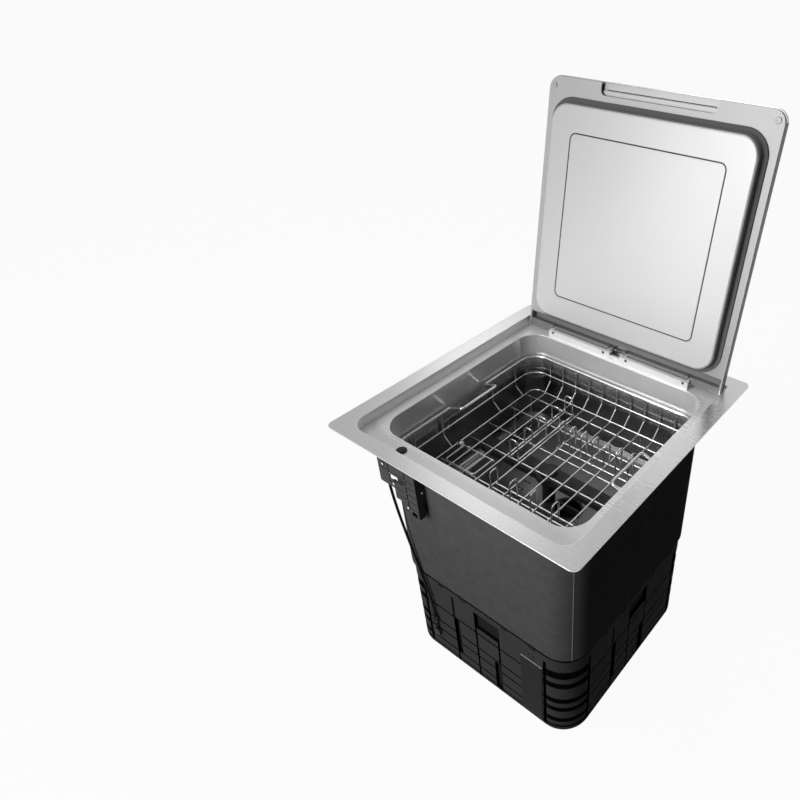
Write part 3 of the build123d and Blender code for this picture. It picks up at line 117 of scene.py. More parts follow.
class Flow:
    """What comes out of a socket. A sum on it adds a Math node."""

    def __init__(self, graph, socket):
        self.graph = graph
        self.socket = socket

    def sum(self, operation, *values):
        return self.graph.node("ShaderNodeMath", {"operation": operation}, dict(enumerate(values)))

    def __add__(self, other):
        return self.sum("ADD", self, other)

    def __sub__(self, other):
        return self.sum("SUBTRACT", self, other)

    def __rsub__(self, other):
        return self.sum("SUBTRACT", other, self)

    def __mul__(self, other):
        return self.sum("MULTIPLY", self, other)

    __radd__ = __add__
    __rmul__ = __mul__

    def size(self):
        """The value without its sign."""
        return self.sum("ABSOLUTE", self)

    def sign(self):
        """1 for a value above 0 and -1 for one below it."""
        return self.sum("SIGN", self)

    def root(self):
        return self.sum("SQRT", self)

    def at_least(self, other):
        """The value, or other where that is more."""
        return self.sum("MAXIMUM", self, other)

    def at_most(self, other):
        """The value, or other where that is less."""
        return self.sum("MINIMUM", self, other)

    def step(self, start, end):
        """0 below start, 1 above end, and a smooth rise between them."""
        return self.graph.node("ShaderNodeMapRange", {"interpolation_type": "SMOOTHSTEP"},
                               {"Value": self, "From Min": start, "From Max": end})

    def above(self, level, soft):
        """1 above a level and 0 below it, with a rise as wide as soft."""
        return self.step(level - soft / 2, level + soft / 2)

    def band(self, low, high, soft):
        """1 between two levels and 0 outside them."""
        return self.above(low, soft) * (1 - self.above(high, soft))


class Graph:
    """Adds nodes to a node tree."""

    def __init__(self, tree):
        self.tree = tree

    def feed(self, socket, value):
        """Links a flow to a socket, or writes a plain value on it."""
        if isinstance(value, Flow):
            self.tree.links.new(value.socket, socket)
        else:
            socket.default_value = value

    def node(self, kind, settings=None, values=None, output=0):
        """Adds a node and gives what comes out of one of its sockets."""
        made = self.tree.nodes.new(kind)
        for name, value in (settings or {}).items():
            setattr(made, name, value)
        for key, value in (values or {}).items():
            self.feed(made.inputs[key], value)
        return Flow(self, made.outputs[output])

    def blend(self, low, high, mask):
        """One colour where the mask is 0 and another where it is 1."""
        return self.node("ShaderNodeMix", {"data_type": "RGBA"},
                         {mix_factor: mask, mix_low: low, mix_high: high}, output=mixed_colour)


print("sums ready")

# %% [markdown]
# ## Finishes
# Every finish has one Principled shader. What is the same all over is a plain value on its socket, and what
# varies comes from patterns that read Object coordinates, so the grain stays on the metal when the lid
# swings. A colour goes through a Mix node, because a Math node would turn it grey.

# %% The finish class
def grey(tone):
    """A colour without a hue, from 0 for black to 1 for white."""
    return (tone, tone, tone, 1)


class Finish(Graph):
    """A material with one shader, and the patterns that vary it."""

    def __init__(self, name, **constants):
        self.material = bpy.data.materials.new(name)
        self.material.use_nodes = True
        super().__init__(self.material.node_tree)
        self.shader = self.tree.nodes["Principled BSDF"]
        for socket, value in constants.items():
            self.shader.inputs[socket.replace("_", " ")].default_value = value
        self.place = self.node("ShaderNodeTexCoord", output="Object")

    def noise(self, scale, stretch=(1, 1, 1), detail=2.0):
        """A cloudy pattern, scale lumps to the metre, finer along the axes that stretch makes larger."""
        mapped = self.node("ShaderNodeMapping", values={"Vector": self.place, "Scale": stretch})
        return self.node("ShaderNodeTexNoise", values={"Vector": mapped, "Scale": scale, "Detail": detail})

    def axis(self, letter):
        """The place along one axis, in metres."""
        return self.node("ShaderNodeSeparateXYZ", values={"Vector": self.place}, output=letter)

    def colour(self, value):
        self.feed(self.shader.inputs["Base Color"], value)

    def metallic(self, value):
        self.feed(self.shader.inputs["Metallic"], value)

    def roughness(self, value):
        self.feed(self.shader.inputs["Roughness"], value)

    def bump(self, height, depth, edge=0):
        """Relief of that depth in metres, and edges that look rounded to that radius."""
        values = {"Height": height, "Distance": depth, "Strength": 1.0}
        if edge:
            values["Normal"] = self.node("ShaderNodeBevel", {"samples": 8}, {"Radius": edge})
        self.feed(self.shader.inputs["Normal"], self.node("ShaderNodeBump", values=values))


def dress(finish, *names):
    """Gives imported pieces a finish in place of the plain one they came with."""
    for name in names:
        nodes[name].data.materials.clear()
        nodes[name].data.materials.append(finish.material)
    print(finish.material.name, "on", ", ".join(names))


# %% [markdown]
# ## Brushed and bright steel
# The flange is finely brushed sheet. Brushing leaves hair-fine lines that run one way, and rolling leaves
# broad soft clouds. Two noises do both: one squeezed into long streaks, one large and round. Streaks only a
# pixel wide glitter, so they stay faint. The recess and the deck inside the flange are blasted and duller, so
# a mask on height makes them mirror less and show more of their own light grey. A Bevel node rounds the look
# of the sharp sheet edges. The lid's outer sheet is brushed too, and its two turned-down sides get painted
# shade, a near-black grey.

# %% Brushed steel
def brushed(name, tone, roughness, stretch=(3, 500, 500), cloudiness=0.05, metallic=1.0, edge=0):
    """Brushed metal. With None for its tone, the colour is set afterwards."""
    steel = Finish(name, Metallic=metallic)
    streaks = steel.noise(1.0, stretch, detail=4.0)
    clouds = steel.noise(7.0, detail=3.0)
    if tone:
        spread, streakiness = 0.1, 0.01
        mask = 0.5 + (streaks - 0.5) * (streakiness / spread) + (clouds - 0.5) * (cloudiness / spread)
        steel.colour(steel.blend(grey(tone * (1 - spread)), grey(tone * (1 + spread)), mask))
    steel.roughness(roughness + (streaks - 0.5) * 0.04 + (clouds - 0.5) * 0.08)
    hair_depth = 0.000001
    steel.bump(streaks, hair_depth, edge)
    return steel


flange_steel = brushed("flange_steel", None, 0.28, edge=0.0012)
rim_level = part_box("top_flange")[1].z
rim_edge = 0.0011
recess = 1 - flange_steel.axis("Z").above(rim_level - rim_edge, soft=0.0006)
rim_grey = flange_steel.blend(grey(0.80), grey(0.88), flange_steel.noise(7.0, detail=3.0))
flange_steel.colour(flange_steel.blend(rim_grey, grey(0.98), recess))
flange_steel.metallic(1 - recess * 0.7)
dress(flange_steel, "top_flange")

lid_steel = brushed("lid_outer_steel", None, 0.30)
lid_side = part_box("lid_outer_panel")[1].x
half_sheet = 0.0005
# painted shade: the lid's two turned-down sides are coloured near black
shaded_side_face = lid_steel.axis("X").size().above(lid_side - half_sheet, soft=0.0006)
lid_steel.colour(lid_steel.blend(grey(0.58), grey(0.05), shaded_side_face))
dress(lid_steel, "lid_outer_panel")

bracket_steel = brushed("bracket_steel", 1.0, 0.30, cloudiness=0.02, metallic=0.0)
dress(bracket_steel, "hinge_rail_left", "hinge_rail_right", "hinge_shaft", "centre_latch")
filter_steel = brushed("filter_steel", 0.22, 0.38)
dress(filter_steel, "filter_tray")

# %% [markdown]
# The tub is drawn from one sheet and then polished. Drawing pulls the sheet downwards, so what lines are left
# run up and down the walls, and the polish leaves slow waves that bend the reflections. A low, wide bump
# gives the waves. Shade is painted into the deep part of the tub as a dark grey. Towards its mouth the walls
# turn pale and soft, so a slow rise on Z mixes in painted light, a light grey that also mirrors less.

# %% Polished tub
tub_steel = Finish("tub_steel", Metallic=1.0)
drawn_lines = tub_steel.noise(1.0, (260, 260, 6), detail=3.0)
waves = tub_steel.noise(14.0, (1, 1, 0.6), detail=1.0)
film = tub_steel.noise(25.0)
painted_light_from, painted_light_to = 0.405, 0.462
# painted shade low in the tub and painted light towards its mouth, on one rise in height
painted_light_band = tub_steel.axis("Z").step(painted_light_from, painted_light_to)
painted_shade_grey = tub_steel.blend(grey(0.22), grey(0.32), film)
painted_light_grey = tub_steel.blend(grey(0.88), grey(0.98), film)
tub_steel.colour(tub_steel.blend(painted_shade_grey, painted_light_grey, painted_light_band))
tub_steel.metallic(1 - painted_light_band * 0.55)
tub_steel.roughness(0.22 + drawn_lines * 0.02 + film * 0.06 - painted_light_band * 0.10)
wave_depth, line_share = 0.0016, 0.0002
tub_steel.bump(waves + drawn_lines * line_share, wave_depth)
dress(tub_steel, "tub")

# %% [markdown]
# ## Basket wire
# The wires are plated bright. A wire 3 mm thick shows only a hard line of light, so its roughness matters
# more than its colour. A little dullness collects near the welds, which a fine noise stands for.

# %% Bright wire
wire_plate = Finish("wire_plate", Metallic=1.0)
dullness = wire_plate.noise(120.0, detail=3.0)
wire_plate.colour(wire_plate.blend(grey(0.72), grey(0.90), dullness))
wire_plate.roughness(0.10 + dullness * 0.14)
wire_plate.bump(dullness, 0.00004)
dress(wire_plate, "basket_rim", "basket_rings", "basket_walls", "basket_floor", "basket_feet", "bowl_tines",
      "plate_tines", "cup_tines", "rack_eyes", "fold_rack", "rack_ball")

# %% [markdown]
# ## Jacket, base and other black plastics
# The jacket is a sound-deadening sheet with a dull, slightly felted face. The base is moulded with a fine
# spark grain. Both are the same kind of finish: a dark tone, soft patches of more and less gloss, and a grain
# in the relief. Black plastic mirrors little, so the specular level is low.

# %% Moulded and felted blacks
def moulded(name, tone, roughness, mottle=0.25, mottle_scale=30.0, grain_scale=1400.0, grain_depth=0.00004,
            specular=0.25):
    """Plastic or felt with a mottle and a grain. With None for its tone, the colour is set afterwards."""
    plastic = Finish(name, Specular_IOR_Level=specular)
    patches = plastic.noise(mottle_scale, detail=5.0)
    grain = plastic.noise(grain_scale, detail=1.0)
    if tone:
        darker, lighter = grey(tone * (1 - 2 * mottle)), grey(tone * (1 + 2 * mottle))
        plastic.colour(plastic.blend(darker, lighter, patches * 0.7 + grain * 0.3))
    plastic.roughness(roughness + (patches - 0.5) * 0.15)
    plastic.bump(grain, grain_depth)
    return plastic


jacket = moulded("jacket_felt", 0.125, 0.85, mottle=0.16, mottle_scale=55.0, grain_scale=700.0,
                 grain_depth=0.0002, specular=0.01)
dress(jacket, "tub_wrap")

# %% [markdown]
# The base's grooves are only a pixel or two wide in the picture, and light leaks into them, so shade is
# painted in as a near-black wherever a point lies deeper than the outer face, just beside the scored rows and
# columns, and on the neck under the jacket. The depth comes from the outline, a rectangle with round corners.
# The place along a face is X on the front and Y on the right, counted the same way round on all four. The
# pockets' floors catch a little light, so their depth alone gets a lighter painted shade of its own.

# %% Painted shade in the base's grooves
def depth_behind(x, y, half, corner_radius):
    """How deep a point lies behind an upright wall with round corners, in metres, up to their radius."""
    over_x, over_y = ((value.size() - (reach - corner_radius)).at_least(0)
                      for value, reach in zip((x, y), half))
    return corner_radius - (over_x * over_x + over_y * over_y).root()


def near(value, places, reach):
    """1 within reach of one of the places, 0 away from all of them."""
    return sum(1 - (value - place).size().step(reach * 0.8, reach) for place in places)


base_black = moulded("base_moulding", None, 0.60, specular=0.005)
shell_low, shell_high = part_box("base_shell")
x, y = (base_black.axis(letter) - centre for letter, centre in zip("XY", (shell_low + shell_high) / 2))
z = base_black.axis("Z")
depth_in = depth_behind(x, y, (shell_high - shell_low) / 2, corner_radius=0.050)

flat_half = 0.127
on_flat = 1 - x.size().at_most(y.size()).above(flat_half, soft=0.002)
front_or_back = (y.size() - x.size()).above(0, soft=0.0002)
along_face = (1 - front_or_back) * y * x.sign() - front_or_back * x * y.sign()

middle_column, column_pitch, column_width, column_top = -0.014, 0.051, 0.0034, 0.1805
row_levels, row_width = (0.127, 0.0845, 0.060, 0.029, 0.009), 0.0026
beside = 0.0008
column_places = [middle_column + column_pitch * turn for turn in (-1, 0, 1)]
columns = near(along_face, column_places, column_width / 2 + beside) * (1 - z.above(column_top, soft=0.001))
rows = near(z, row_levels, row_width / 2 + beside)

neck_level, pocket_depth = 0.194, 0.006
just_inside, floor_reach = 0.0005, 0.0002
in_groove = depth_in.above(just_inside, soft=0.0006)
# painted shade: grooves, the strips beside the rows and columns, and the neck under the jacket turn near
# black
painted_shade = in_groove.at_least(on_flat * (columns + rows)).at_least(z.above(neck_level, soft=0.001))
# painted shade, lighter: the floors of the pockets
pocket_floor_shade = on_flat * depth_in.band(pocket_depth - floor_reach, pocket_depth + floor_reach, soft=0.0002)
painted_shade_black = base_black.blend(grey(0.074), grey(0.005), painted_shade)
base_black.colour(base_black.blend(painted_shade_black, grey(0.028), pocket_floor_shade))
dress(base_black, "base_shell")

# %% [markdown]
# The small black pieces outside and the works inside are plain mouldings. Each group has its own tone and
# gloss: the clip and the port of the hose, the button and the other small glossy pieces, the grey works
# under the tub, and what stands in the wash water.

# %% Small mouldings and the works
clip_black = moulded("clip_moulding", 0.030, 0.60)
dress(clip_black, "hose_port", "hose_clip")
gloss_black = moulded("small_black_moulding", 0.022, 0.40)
dress(gloss_black, "switch_bezel", "door_switch", "door_button", "float_switch", "air_break", "inlet_valve",
      "cable_gland")
works_grey = moulded("works_plastic", 0.075, 0.45)
dress(works_grey, "sump", "pump_volute", "drain_pump", "control_box", "control_cover")
wash_grey = moulded("wash_plastic", 0.045, 0.40)
dress(wash_grey, "spray_arm", "arm_cap", "bearing_post", "coarse_filter", "leak_float", "wash_rotor",
      "drain_rotor")

# %% [markdown]
# The service panel is a flat plate whose top edge is coloured a light grey. The edge is found by its height:
# a mask that rises over the last millimetre below the panel's top mixes that grey in.

# %% Service panel and floor pan
panel_plate = Finish("panel_plate", Specular_IOR_Level=0.02)
panel_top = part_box("service_panel")[1].z
light_edge_height = 0.00085
# a light grey band along the panel's top edge
light_top_edge = panel_plate.axis("Z").above(panel_top - light_edge_height, soft=0.0005)
scuffs = panel_plate.noise(90.0, (1, 1, 0.2), detail=5.0)
plate_black = panel_plate.blend(grey(0.022), grey(0.034), scuffs)
panel_plate.colour(panel_plate.blend(plate_black, grey(0.42), light_top_edge))
panel_plate.roughness(0.42 + scuffs * 0.15)
panel_plate.bump(scuffs, 0.00003)
dress(panel_plate, "service_panel", "base_pan")

# %% [markdown]
# ## Depth in the open lid
# Painted shade on the grip and painted light on the seal change from one level of the lid to the next. On a
# closed lid that level is plain Z, but the imported lid stands open. The frame holds the hinge's place and
# its range, so one sum on Y and Z turns a point back and gives how deep it lies behind the lid's inner face.
# The same values swing a new piece open later on.

# %% Depth in the open lid
hinge = next(joint for joint in frame["joints"] if joint["name"] == "lid_hinge")
hinge_y, hinge_z = hinge["pos_m"][1:]
open_turn = math.radians(-hinge["range_deg"][0])
face_below_hinge = 0.0082


def depth_in_lid(finish):
    """How deep a point of the open lid lies behind the lid's inner face, in metres."""
    return ((finish.axis("Y") - hinge_y) * math.sin(open_turn)
            + (finish.axis("Z") - hinge_z) * math.cos(open_turn) + face_below_hinge)


print("lid open", round(math.degrees(open_turn), 1), "degrees")

# %% [markdown]
# ## Lid: lacquered frame, satin panel
# The lid's frame is a casting with a silver lacquer. Metal flake in a lacquer mirrors softly, so the shader
# is mostly metallic and quite rough, with a fine sparkle. The grip in its free edge is lacquered too, with
# shade painted near black on the face of its step and at the bottom of its channel. The inner panel is satin
# and reads almost white, with painted light near the hinge and on the right, which two slow rises give it.

# %% Lid lacquers
def lacquered(name, tone, roughness, metallic):
    """Lacquer with metal flake in it. With None for its tone, the colour is set afterwards."""
    lacquer = Finish(name, Metallic=metallic)
    flake = lacquer.noise(900.0, detail=1.0)
    clouds = lacquer.noise(9.0, detail=3.0)
    if tone:
        sparkle = 0.1
        darker, lighter = grey(tone * (1 - sparkle)), grey(tone * (1 + sparkle))
        lacquer.colour(lacquer.blend(darker, lighter, flake * 0.5 + clouds * 0.5))
    lacquer.roughness(roughness + (flake - 0.5) * 0.10 + (clouds - 0.5) * 0.06)
    lacquer.bump(flake, 0.00001)
    return lacquer


frame_lacquer = lacquered("frame_lacquer", 0.44, 0.50, 0.75)
dress(frame_lacquer, "lid_frame", "lid_bumpers")

grip_lacquer = lacquered("grip_lacquer", None, 0.50, 0.75)
step_low, step_high, channel_floor = 0.0054, 0.0074, 0.00835
into_grip = depth_in_lid(grip_lacquer)
# painted shade: the step's face and the channel's bottom are coloured near black
shaded_step_face = into_grip.band(step_low, step_high, soft=0.0004)
shaded_channel = into_grip.above(channel_floor, soft=0.0003)
grip_lacquer.colour(grip_lacquer.blend(grey(0.50), grey(0.03), shaded_step_face + shaded_channel))
dress(grip_lacquer, "lid_grip_insert")

inner_panel = lacquered("inner_panel_satin", None, 0.44, 0.50)
foot_level, head_level = 0.50, 0.86
left_place, right_place = -0.10, 0.18
painted_light_share = 0.25
# painted light: the satin panel is coloured paler near the hinge and towards the right
painted_light_near_hinge = 1 - inner_panel.axis("Z").step(foot_level, head_level)
painted_light_right_side = inner_panel.axis("X").step(left_place, right_place)
inner_panel.colour(inner_panel.blend(grey(0.60), grey(0.86), (painted_light_near_hinge + painted_light_right_side) * painted_light_share))
dress(inner_panel, "lid_plug")

bar_lacquer = lacquered("hinge_bar_lacquer", 0.24, 0.40, 0.3)
dress(bar_lacquer, "lid_hinge_bar")
motor_paint = lacquered("motor_paint", 0.25, 0.40, 0.6)
dress(motor_paint, "wash_motor", "heater")
spring_steel = brushed("spring_steel", 0.30, 0.30, stretch=(400, 60, 60))
dress(spring_steel, "hinge_spring")

# %% [markdown]
# ## Rubber
# The seal is extruded rubber. Rubber is dull and a little dusty in its hollows, and the extrusion leaves fine
# lines along it. The part of the seal that stands round the panel's side is coloured paler than its foot as
# painted light, and the depth in the lid tells them apart. Hoses and the motor's soft mount are of the same
# stuff, blacker.

# %% Rubber
def rubber(name, tone, roughness=0.6):
    """Dusty rubber. With None for its tone, the colour is set afterwards."""
    soft = Finish(name, Specular_IOR_Level=0.1)
    dust = soft.noise(60.0, detail=4.0)
    if tone:
        soft.colour(soft.blend(grey(tone * 0.75), grey(tone * 1.3), dust))
    soft.roughness(roughness + (dust - 0.5) * 0.2)
    soft.bump(soft.noise(500.0, detail=1.0), 0.00003)
    return soft


seal_rubber = rubber("seal_rubber", None)
sleeve_end, sleeve_foot = -0.0103, -0.0038
# painted light: the sleeve round the panel's side is coloured paler than the foot
painted_light_sleeve = depth_in_lid(seal_rubber).band(sleeve_end, sleeve_foot, soft=0.001)
seal_rubber.colour(seal_rubber.blend(grey(0.17), grey(0.42), painted_light_sleeve))
dress(seal_rubber, "lid_gasket")
mount_rubber = rubber("mount_rubber", 0.075)
dress(mount_rubber, "motor_mount")
hose_rubber = rubber("hose_rubber", 0.010, 0.70)
dress(hose_rubber, "drain_pipe")

# %% [markdown]
# ## Circuit board
# The board sits inside its box on the left wall and shows only when the cover is off. Green solder mask over
# a copper grid is enough: a brick pattern draws the lands, and the mask covers all but a few of them.

# %% Circuit board
board_face = Finish("board_face", Specular_IOR_Level=0.5, Coat_Weight=0.3)
lands = board_face.node("ShaderNodeTexBrick", output="Fac",
                        values={"Vector": board_face.place, "Scale": 160.0, "Mortar Size": 0.012})
haze = board_face.noise(35.0, detail=3.0)
board_green = board_face.blend((0.010, 0.075, 0.030, 1), (0.016, 0.110, 0.045, 1), haze)
board_face.colour(board_face.blend(board_green, (0.055, 0.160, 0.060, 1), lands))
board_face.roughness(0.35 + haze * 0.12)
dress(board_face, "circuit_board")

# %% [markdown]
# ## Breather hose
# A thin black hose runs from the air break down the front to a port on the base. It is pulled nearly straight
# and goes into the machine at both ends. A hose is a curve with a round bevel: the few points below are the
# same ones its solid follows, and the curve rounds them by itself.

# %% Breather hose
hose_diameter = 0.0045
hose_points = [(-0.162, -0.1928, 0.40385), (-0.162, -0.1913, 0.354), (-0.123, -0.18665, 0.178),
               (-0.111, -0.18665, 0.120), (-0.111, -0.18665, 0.062)]
hose_curve = bpy.data.curves.new("breather_hose_run", "CURVE")
hose_curve.dimensions = "3D"
hose_curve.bevel_depth = hose_diameter / 2
hose_curve.bevel_resolution = 6
hose_curve.use_fill_caps = True
run = hose_curve.splines.new("NURBS")
run.points.add(len(hose_points) - 1)
for point, place in zip(run.points, hose_points):
    point.co = (*place, 1)
run.order_u = 3
run.use_endpoint_u = True
run.resolution_u = 24
hose = bpy.data.objects.new("breather_hose_run", hose_curve)
bpy.context.collection.objects.link(hose)
hose_curve.materials.append(hose_rubber.material)
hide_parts("breather_hose")
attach(hose, "cabinet")

# %% [markdown]
# ## Screws
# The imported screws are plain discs. Finer heads are set where the discs lie, so their places and sizes are
# measured and not typed again. The plain piece is copied, its doubles are merged, and it is split into loose
# parts. The box of each part gives its centre and its size.

# %% Places of the plain screws
def only(obj):
    """Selects one object and makes it the active one."""
    bpy.ops.object.select_all(action="DESELECT")
    obj.select_set(True)
    bpy.context.view_layer.objects.active = obj


def loose_boxes(name):
    """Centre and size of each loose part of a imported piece."""
    copy = nodes[name].copy()
    copy.data = nodes[name].data.copy()
    copy.parent = None
    bpy.context.collection.objects.link(copy)
    only(copy)
    bpy.ops.object.mode_set(mode="EDIT")
    bpy.ops.mesh.select_all(action="SELECT")
    bpy.ops.mesh.remove_doubles(threshold=0.00001)
    bpy.ops.mesh.separate(type="LOOSE")
    bpy.ops.object.mode_set(mode="OBJECT")
    found = []
    for part in list(bpy.context.selected_objects):
        corners = [Vector(corner) for corner in part.bound_box]
        low = Vector(map(min, *corners))
        high = Vector(map(max, *corners))
        found.append(((low + high) / 2, high - low))
        bpy.data.meshes.remove(part.data)
    return found


rail_places = loose_boxes("rail_screws")
break_places = loose_boxes("air_break_screws")
print(len(rail_places), "screws on the rails,", len(break_places), "on the air break")

# %% [markdown]
# A real pan head has a rounded rim and a cross recess, which catches a dark star of shade. One head is
# shaped: a cylinder, its outer rim bevelled, and a cross cut into it with a Boolean. A bevel acts on
# whatever is selected, and a new primitive is selected all over, so everything is deselected first and the
# edges are then picked by a test on their ends.

# %% One screw head
def pick(piece, kind, parts, wanted):
    """Selects the faces or edges that pass a test, and goes into edit mode."""
    bpy.ops.object.mode_set(mode="EDIT")
    bpy.ops.mesh.select_mode(type=kind)
    bpy.ops.mesh.select_all(action="DESELECT")
    bpy.ops.object.mode_set(mode="OBJECT")
    for part in parts:
        part.select = wanted(part)
    bpy.ops.object.mode_set(mode="EDIT")


def bevel_edges(piece, width, steps, wanted):
    """Bevels the edges whose two ends pass a test."""
    corners = piece.data.vertices
    pick(piece, "EDGE", piece.data.edges, lambda edge: wanted(*(corners[v].co for v in edge.vertices)))
    bpy.ops.mesh.bevel(offset=width, segments=steps, affect="EDGES")
    bpy.ops.object.mode_set(mode="OBJECT")


def turned_head(radius, height):
    """A pan head with a cross recess, half its height above the origin and half below."""
    rim_round, slot_length, slot_width = height * 0.55, radius * 1.1, radius * 0.26
    bpy.ops.object.select_all(action="DESELECT")
    bpy.ops.mesh.primitive_cylinder_add(vertices=40, radius=radius, depth=height)
    head = bpy.context.object
    bevel_edges(head, rim_round, 4, lambda a, b: min(a.z, b.z) > 0)
    for turn in (0, math.pi / 2):
        bpy.ops.mesh.primitive_cube_add(size=1, location=(0, 0, height / 2), rotation=(0, 0, turn),
                                        scale=(slot_length, slot_width, height))
        blade = bpy.context.object
        only(head)
        cut = head.modifiers.new("cross", "BOOLEAN")
        cut.operation = "DIFFERENCE"
        cut.object = blade
        bpy.ops.object.modifier_apply(modifier=cut.name)
        bpy.data.meshes.remove(blade.data)
    return head


print("screw head ready")

# %% [markdown]
# Each disc gets a head of its own size. The axis along which the disc is thin tells which way its screw
# faces, to the right or to the front. The heads are then joined into one piece that takes the discs' place.

# %% All screw heads
def screws(name, stood_for, places, finish):
    """A head at each place, joined into one piece."""
    heads = []
    for centre, size in places:
        thin = min(range(3), key=lambda axis: size[axis])
        outward = Vector((1, 0, 0)) if thin == 0 else Vector((0, -1, 0))
        head = turned_head(max(size) / 2, size[thin])
        turn = outward.to_track_quat("Z", "Y").to_matrix().to_4x4()
        head.data.transform(Matrix.Translation(centre - outward * size[thin] / 2) @ turn)
        heads.append(head)
    bpy.ops.object.select_all(action="DESELECT")
    for head in heads:
        head.select_set(True)
    bpy.context.view_layer.objects.active = heads[0]
    bpy.ops.object.join()
    piece = bpy.context.object
    piece.name = name
    bpy.ops.object.shade_smooth_by_angle(angle=math.radians(35))
    piece.data.materials.clear()
    piece.data.materials.append(finish.material)
    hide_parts(stood_for)
    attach(piece, "cabinet")
    print(name, "with", len(heads), "heads,", len(piece.data.polygons), "faces")


rail_screw_zinc = brushed("rail_screw_zinc", 0.30, 0.30, stretch=(90, 90, 90))
screws("rail_screw_heads", "rail_screws", rail_places, rail_screw_zinc)
break_screw_zinc = brushed("break_screw_zinc", 0.85, 0.25, stretch=(90, 90, 90))
screws("air_break_screw_heads", "air_break_screws", break_places, break_screw_zinc)

# %% [markdown]
# ## Dark bead as painted shade in the lid's scored line
# A dark bead lies in the line that runs round the inner panel, as painted shade in that line. A curve could
# be swept along the line, but a frame cut from a plate keeps the same corners as the groove: a plate has its
# four upright edges bevelled round, its top and bottom inset by the bead's width, and the two middles bridged
# into one opening. It is shaped with the lid closed, where the numbers are plain, and then swung open like
# the imported lid.

# %% Lid bead for painted shade
def block(low, high):
    """A block between two corners, with its place in its mesh."""
    bpy.ops.object.select_all(action="DESELECT")
    bpy.ops.mesh.primitive_cube_add(size=1, location=(low + high) / 2, scale=high - low)
    bpy.ops.object.transform_apply(location=True, rotation=True, scale=True)
    return bpy.context.object


def swung_open(piece):
    """Turns a piece that was modelled on the closed lid to where the lid stands open."""
    shaft = Matrix.Translation((0, hinge_y, hinge_z))
    piece.data.transform(shaft @ Matrix.Rotation(-open_turn, 4, "X") @ shaft.inverted())


groove_low, groove_high = Vector((-0.134, -0.135, 0.475)), Vector((0.134, 0.134, 0.476))
groove_width, groove_radius = 0.0022, 0.011
play, sunk, corner_steps = 0.0002, 0.0001, 10
shade_bead = block(groove_low + Vector((play, play, sunk)), groove_high - Vector((play, play, 0)))
bevel_edges(shade_bead, groove_radius - play, corner_steps, lambda a, b: abs(a.z - b.z) > sunk)
pick(shade_bead, "FACE", shade_bead.data.polygons, lambda face: abs(face.normal.z) > 0.9)
bpy.ops.mesh.inset(thickness=groove_width - 2 * play, depth=0)
bpy.ops.mesh.bridge_edge_loops()
bpy.ops.object.mode_set(mode="OBJECT")
shade_bead.name = "lid_line_shade_bead"
swung_open(shade_bead)
bpy.ops.object.shade_smooth_by_angle(angle=math.radians(30))
# painted shade: a dark rubber bead stands for the shade in the scored line
shade_bead_rubber = rubber("shade_bead_rubber", 0.10)
shade_bead.data.materials.append(shade_bead_rubber.material)
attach(shade_bead, "lid")
print("bead with", len(shade_bead.data.polygons), "faces")

# %% [markdown]
# ## Light strip as a painted highlight on the jacket's seam
# The jacket's two ends meet at the front right corner, and a thin light grey strip along that seam is a
# painted highlight. It is a long block, bevelled along its two outer edges. It is made on the X axis, as far
# out as the corner's radius, and then turned and moved to the middle of that corner, so that it lies on the
# round face where the seam is.

# %% Seam highlight strip
wrap_low, wrap_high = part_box("tub_wrap")
wrap_radius = 0.048
corner_middle = Vector((wrap_high.x - wrap_radius, wrap_low.y + wrap_radius, 0))
seam_turn = math.radians(-40)
strip_width, strip_thickness, strip_proud, strip_short = 0.0012, 0.0007, 0.0004, 0.0002
outer_face, edge_radius = wrap_radius + strip_proud, 0.0003
seam_strip = block(Vector((outer_face - strip_thickness, -strip_width / 2, wrap_low.z + strip_short)),
             Vector((outer_face, strip_width / 2, wrap_high.z - strip_short)))
bevel_edges(seam_strip, edge_radius, 3,
            lambda a, b: min(a.x, b.x) > outer_face - edge_radius and abs(a.z - b.z) > strip_width)
seam_strip.name = "seam_highlight_strip"
seam_strip.data.transform(Matrix.Translation(corner_middle) @ Matrix.Rotation(seam_turn, 4, "Z"))
bpy.ops.object.shade_smooth_by_angle(angle=math.radians(30))
# painted highlight: the strip on the seam is coloured light grey
seam_highlight_grey = moulded("seam_highlight_grey", 0.36, 0.5, mottle=0.05)
seam_strip.data.materials.append(seam_highlight_grey.material)
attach(seam_strip, "cabinet")
print("welt with", len(seam_strip.data.polygons), "faces")

# %% [markdown]
# ## Floor, world and lamps
# The picture has a plain white ground. Light Path tells what kind of ray meets the floor. A ray from the
# camera, or one seen in metal or through glass, finds it lit up to white, and light that bounces off it meets
# a darker grey, so the white never adds light to the machine. A small share of plain white paper stays in
# what the camera sees, which keeps the machine's shadow. The two shader sockets of a Mix Shader share one
# name, so they go by number.

# %% Floor
def bare_graph(owner):
    """The emptied node tree of a material or a world."""
    owner.use_nodes = True
    owner.node_tree.nodes.clear()
    return Graph(owner.node_tree)


def close(graph, kind, surface):
    """Leads a shader to a new output node."""
    graph.feed(graph.tree.nodes.new(kind).inputs["Surface"], surface)


def ray(graph, *kinds):
    """1 for a ray of one of these kinds, else 0."""
    return sum(graph.node("ShaderNodeLightPath", output=f"Is {kind} Ray") for kind in kinds).at_most(1.0)


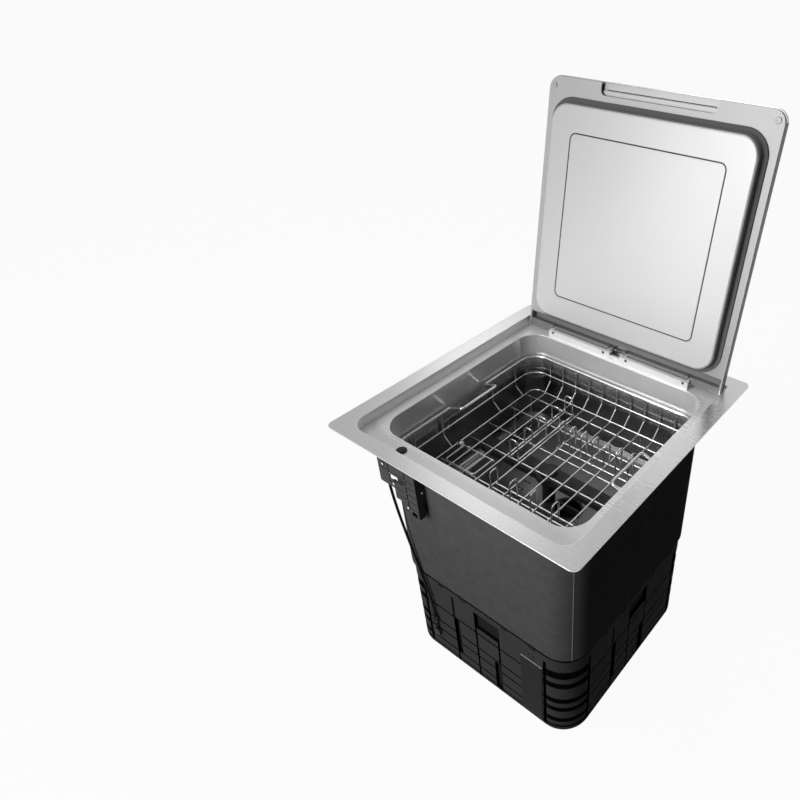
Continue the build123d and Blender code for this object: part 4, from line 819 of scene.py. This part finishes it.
bpy.ops.object.select_all(action="DESELECT")
bpy.ops.mesh.primitive_plane_add(size=400, location=(0, 0, 0))
floor = bpy.context.object
floor.name = "floor"
paper = bpy.data.materials.new("floor_paper")
floor.data.materials.append(paper)
ground = bare_graph(paper)
glow_share = 0.95
seen = ray(ground, "Camera", "Glossy", "Transmission")
matt = ground.node("ShaderNodeBsdfDiffuse", values={"Color": ground.blend(grey(0.10), grey(0.95), seen)})
glow = ground.node("ShaderNodeEmission", values={"Color": grey(1.0), "Strength": 1.0})
close(ground, "ShaderNodeOutputMaterial",
      ground.node("ShaderNodeMixShader", values={0: seen * glow_share, 1: matt, 2: glow}))
floor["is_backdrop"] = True
print("floor ready")

# %% [markdown]
# The world does two jobs. Seen directly it is white. In metal it is a studio: lighter towards the back and
# darker to the right, which gives the steel its slow gradients. As plain fill light it is weak and comes from
# the left, because the machine's right side lies nearly in the dark.

# %% World
bpy.context.scene.view_settings.view_transform = "Standard"
world = bpy.data.worlds.new("studio")
bpy.context.scene.world = world
sky = bare_graph(world)
aim = sky.node("ShaderNodeTexCoord", output="Generated")
to_right, to_back = (sky.node("ShaderNodeSeparateXYZ", values={"Vector": aim}, output=axis) for axis in "XY")
direct_view = ray(sky, "Camera", "Transmission")
in_metal = ray(sky, "Glossy")
middle_light, back_gain, right_loss = 0.46, 0.30, 0.35
mirrored = middle_light + to_back.step(0.5, 0.95) * back_gain - to_right.step(0.1, 0.9) * right_loss
left_fill, fill_loss = 0.22, 0.21
fill = left_fill - to_right.step(-0.5, 0.5) * fill_loss
strength = direct_view + (1 - direct_view) * (in_metal * mirrored + (1 - in_metal) * fill)
close(sky, "ShaderNodeOutputWorld",
      sky.node("ShaderNodeBackground", values={"Color": grey(1.0), "Strength": strength}))
print("world ready")

# %% [markdown]
# Large soft lamps give the plain studio light. The main one stands at the front left, so the front of the
# jacket is lighter than its side. One hangs above, and a weak one behind on the left, which the flange
# mirrors. A soft spot reaches over the front flange to the hinge rails and the tub's back wall, where the
# others hardly come.

# %% Lamps
def lamp(name, kind, place, aim, power, **settings):
    """A lamp of so many watts at one place, turned to face another."""
    made = bpy.data.objects.new(name, bpy.data.lights.new(name, kind))
    made.data.energy = power
    for setting, value in settings.items():
        setattr(made.data, setting, value)
    made.location = place
    made.rotation_euler = (Vector(aim) - Vector(place)).to_track_quat("-Z", "Y").to_euler()
    bpy.context.collection.objects.link(made)
    print(name, power, "W")


def softbox(name, place, width, height, power):
    """A rectangular lamp that faces the machine."""
    machine_middle = (0, 0, 0.45)
    lamp(name, "AREA", place, machine_middle, power, shape="RECTANGLE", size=width, size_y=height)


softbox("main_softbox", (-0.6, -2.8, 1.2), 1.5, 1.5, 36)
softbox("top_softbox", (-0.6, -0.9, 2.6), 1.6, 1.4, 11)
softbox("rear_softbox", (-1.7, 1.6, 2.36), 0.65, 1.2, 2.4)
lamp("hinge_spot", "SPOT", (-0.3, -1.2, 1.15), (0.03, 0.185, 0.45), 34, spot_size=math.radians(21),
     spot_blend=0.7, shadow_soft_size=0.2)

# %% [markdown]
# ## Sizes
# The new pieces are meant to stay inside the imported model's box, so the last line prints by how many
# millimetres the shown machine reaches past that box, below on each axis and then above.

# %% Sizes and the last line
shown_low, shown_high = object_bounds()
growth = [round(v * 1000, 2) for v in (*(cad_low - shown_low), *(shown_high - cad_high))]
print("grown by", growth, "mm")
